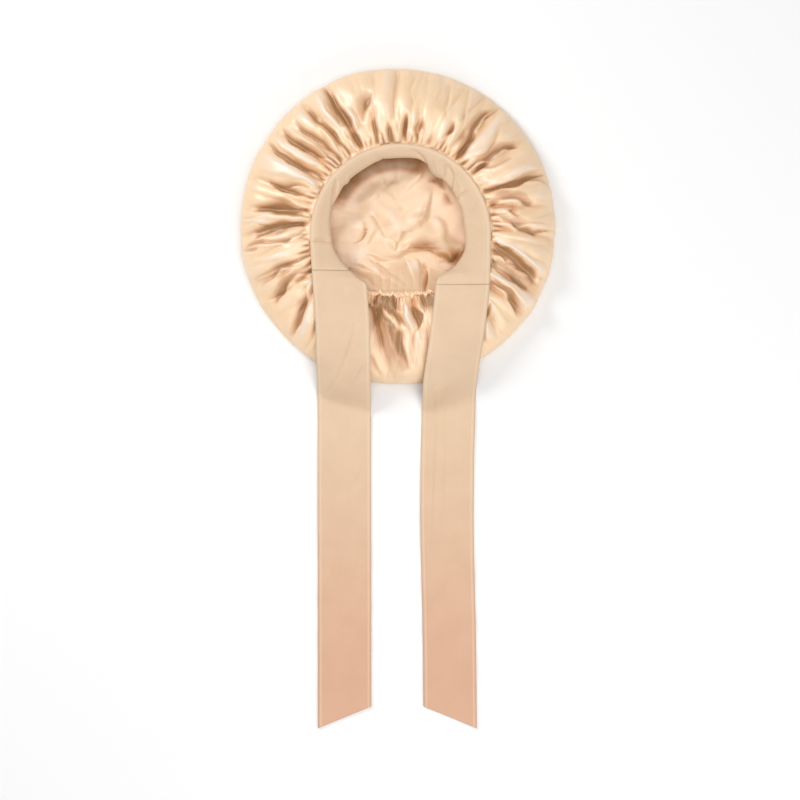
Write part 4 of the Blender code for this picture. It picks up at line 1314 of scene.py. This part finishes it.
mottle = add_node(matte, "TexNoise", Vector=here, Scale=32.0, Detail=4.0, Roughness=0.6)["Fac"]
to_end = add_node(
    matte,
    "MapRange",
    Value=towards_end,
    From_Min=0.02,
    From_Max=-0.34,
    interpolation_type="SMOOTHSTEP",
)
off_middle = add_node(matte, "Math", across, BAND_WIDTH / 2, operation="SUBTRACT")["Value"]
mirrored = add_node(matte, "Math", off_middle, operation="ABSOLUTE")["Value"]
hem_at = BAND_WIDTH / 2 - HEM_INSET
hem_line = add_node(matte, "Math", mirrored, hem_at, STITCH_WIDTH, operation="COMPARE")["Value"]
hem_faint = add_node(matte, "Math", hem_line, 0.3, operation="MULTIPLY")["Value"]
mottle_share = add_node(matte, "MapRange", Value=mottle, From_Min=0.4, From_Max=0.75, To_Max=0.5)
length_tint = mixed(matte, to_end["Result"], given["Colour"], given["End Colour"])
mottled = mixed(matte, mottle_share["Result"], length_tint, KNIT_MOTTLE, "MULTIPLY")
hemmed = mixed(matte, hem_faint, mottled, given["Hem Colour"])
nap = add_node(matte, "Math", loops, 0.15, given["Nap"], operation="MULTIPLY_ADD")["Value"]
rib_height = add_node(matte, "Math", loops, 0.6, ribs, operation="MULTIPLY_ADD")["Value"]
end_surface(matte, hemmed, nap, rib_height)


def knit(name):
    """Matte beige knit, fine ribbed, with a soft nap."""
    return cloth_material(
        name,
        matte,
        KNIT_RELIEF,
        KNIT_RELIEF_DEPTH,
        KNIT_LOOK,
        Colour=KNIT_BEIGE,
        End_Colour=KNIT_SALMON,
        Hem_Colour=KNIT_HEM,
        Nap=KNIT_NAP,
    )


strip = strip_surface()
turns = np.linspace(RIGHT_JOIN, LEFT_JOIN, BAND_STATIONS)
head_band = strip_piece("head_band_knit", turns, knit("band_knit"))
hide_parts("head_band")

# The ties
# Two long straps of the band's knit, one sewn to each of its ends. They lie over the skirt
# and down onto the table, side by side, and end in a slanted cut.
TIE_STATIONS = 440
join_gap = np.degrees(GAP / MOUTH_RADIUS)
for side, seam_turn, way in (("left", LEFT_JOIN, 1), ("right", RIGHT_JOIN, -1)):
    start = seam_turn + way * join_gap
    turns = np.sort(np.linspace(start, turn_of_reach(side), TIE_STATIONS))
    tie = strip_piece(f"tie_knit_{side}", turns, knit(f"tie_knit_{side}"))
    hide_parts(f"tie_{side}")

# The nape casing
# The narrow channel of satin round the nape's elastic, which draws it up in small frills.
# It is the turned edge of the crown.
CASING_WIDTH = 0.0055
CASING_SAG = 0.0024
CASING_WANDER = 0.0012
CASING_FRILLS = 17
CASING_WAVES = ((23, 1.0, 1.0), (41, 0.7, 2.0), (67, 0.5, 0.0))
CASING_STATIONS = 520
CASING_SIDES = 20
along = np.linspace(-1, 1, CASING_STATIONS)[:, None]
bearings = 270 + CASING_SPREAD * along
frill = np.sin(np.pi * CASING_FRILLS * along + 0.8 * np.sin(9 * along))
small = np.sin(np.pi * 41 * along + 1.5 * np.sin(13 * along))
full = 0.5 + 0.5 * casing_taper(bearings)
tall = CASING_HEIGHT * full * (0.72 + 0.18 * frill + 0.10 * small)
wide = CASING_WIDTH * full * (0.84 - 0.16 * frill + 0.10 * small)
sag = CASING_SAG * np.exp(-((along / 0.4) ** 2))
radius = seam_radius(bearings) - SEAM_LAP / 2 + CASING_WANDER * waves(along, CASING_WAVES) + sag
turn = np.arange(CASING_SIDES) * 2 * np.pi / CASING_SIDES + np.pi / 2
groove = 1 - 0.22 * np.exp(-(((np.sin(turn) - 0.85) / 0.25) ** 2))
up = seam_height(bearings) + GAP + tall * (0.5 + 0.5 * np.sin(turn) * groove)
tube = polar_points(radius + wide / 2 * np.cos(turn), bearings, up)
points = np.concatenate([tube.reshape(-1, 3), tube[[0, -1]].mean(axis=1)])
around = np.arange(CASING_SIDES)
after = (around + 1) % CASING_SIDES
last = (CASING_STATIONS - 1) * CASING_SIDES
middle = last + CASING_SIDES + 0 * around
fans = ((around, after, middle), (last + after, last + around, middle + 1))
parts = [ring_faces(CASING_STATIONS, CASING_SIDES), *(np.stack(fan, axis=-1) for fan in fans)]
casing = cloth_piece(
    "nape_casing_satin",
    points,
    [tuple(face) for part in parts for face in part.tolist()],
    satin("casing_satin"),
    pull=CASING_PULL * points,
    depth=np.zeros(len(points)),
)
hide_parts("nape_casing")
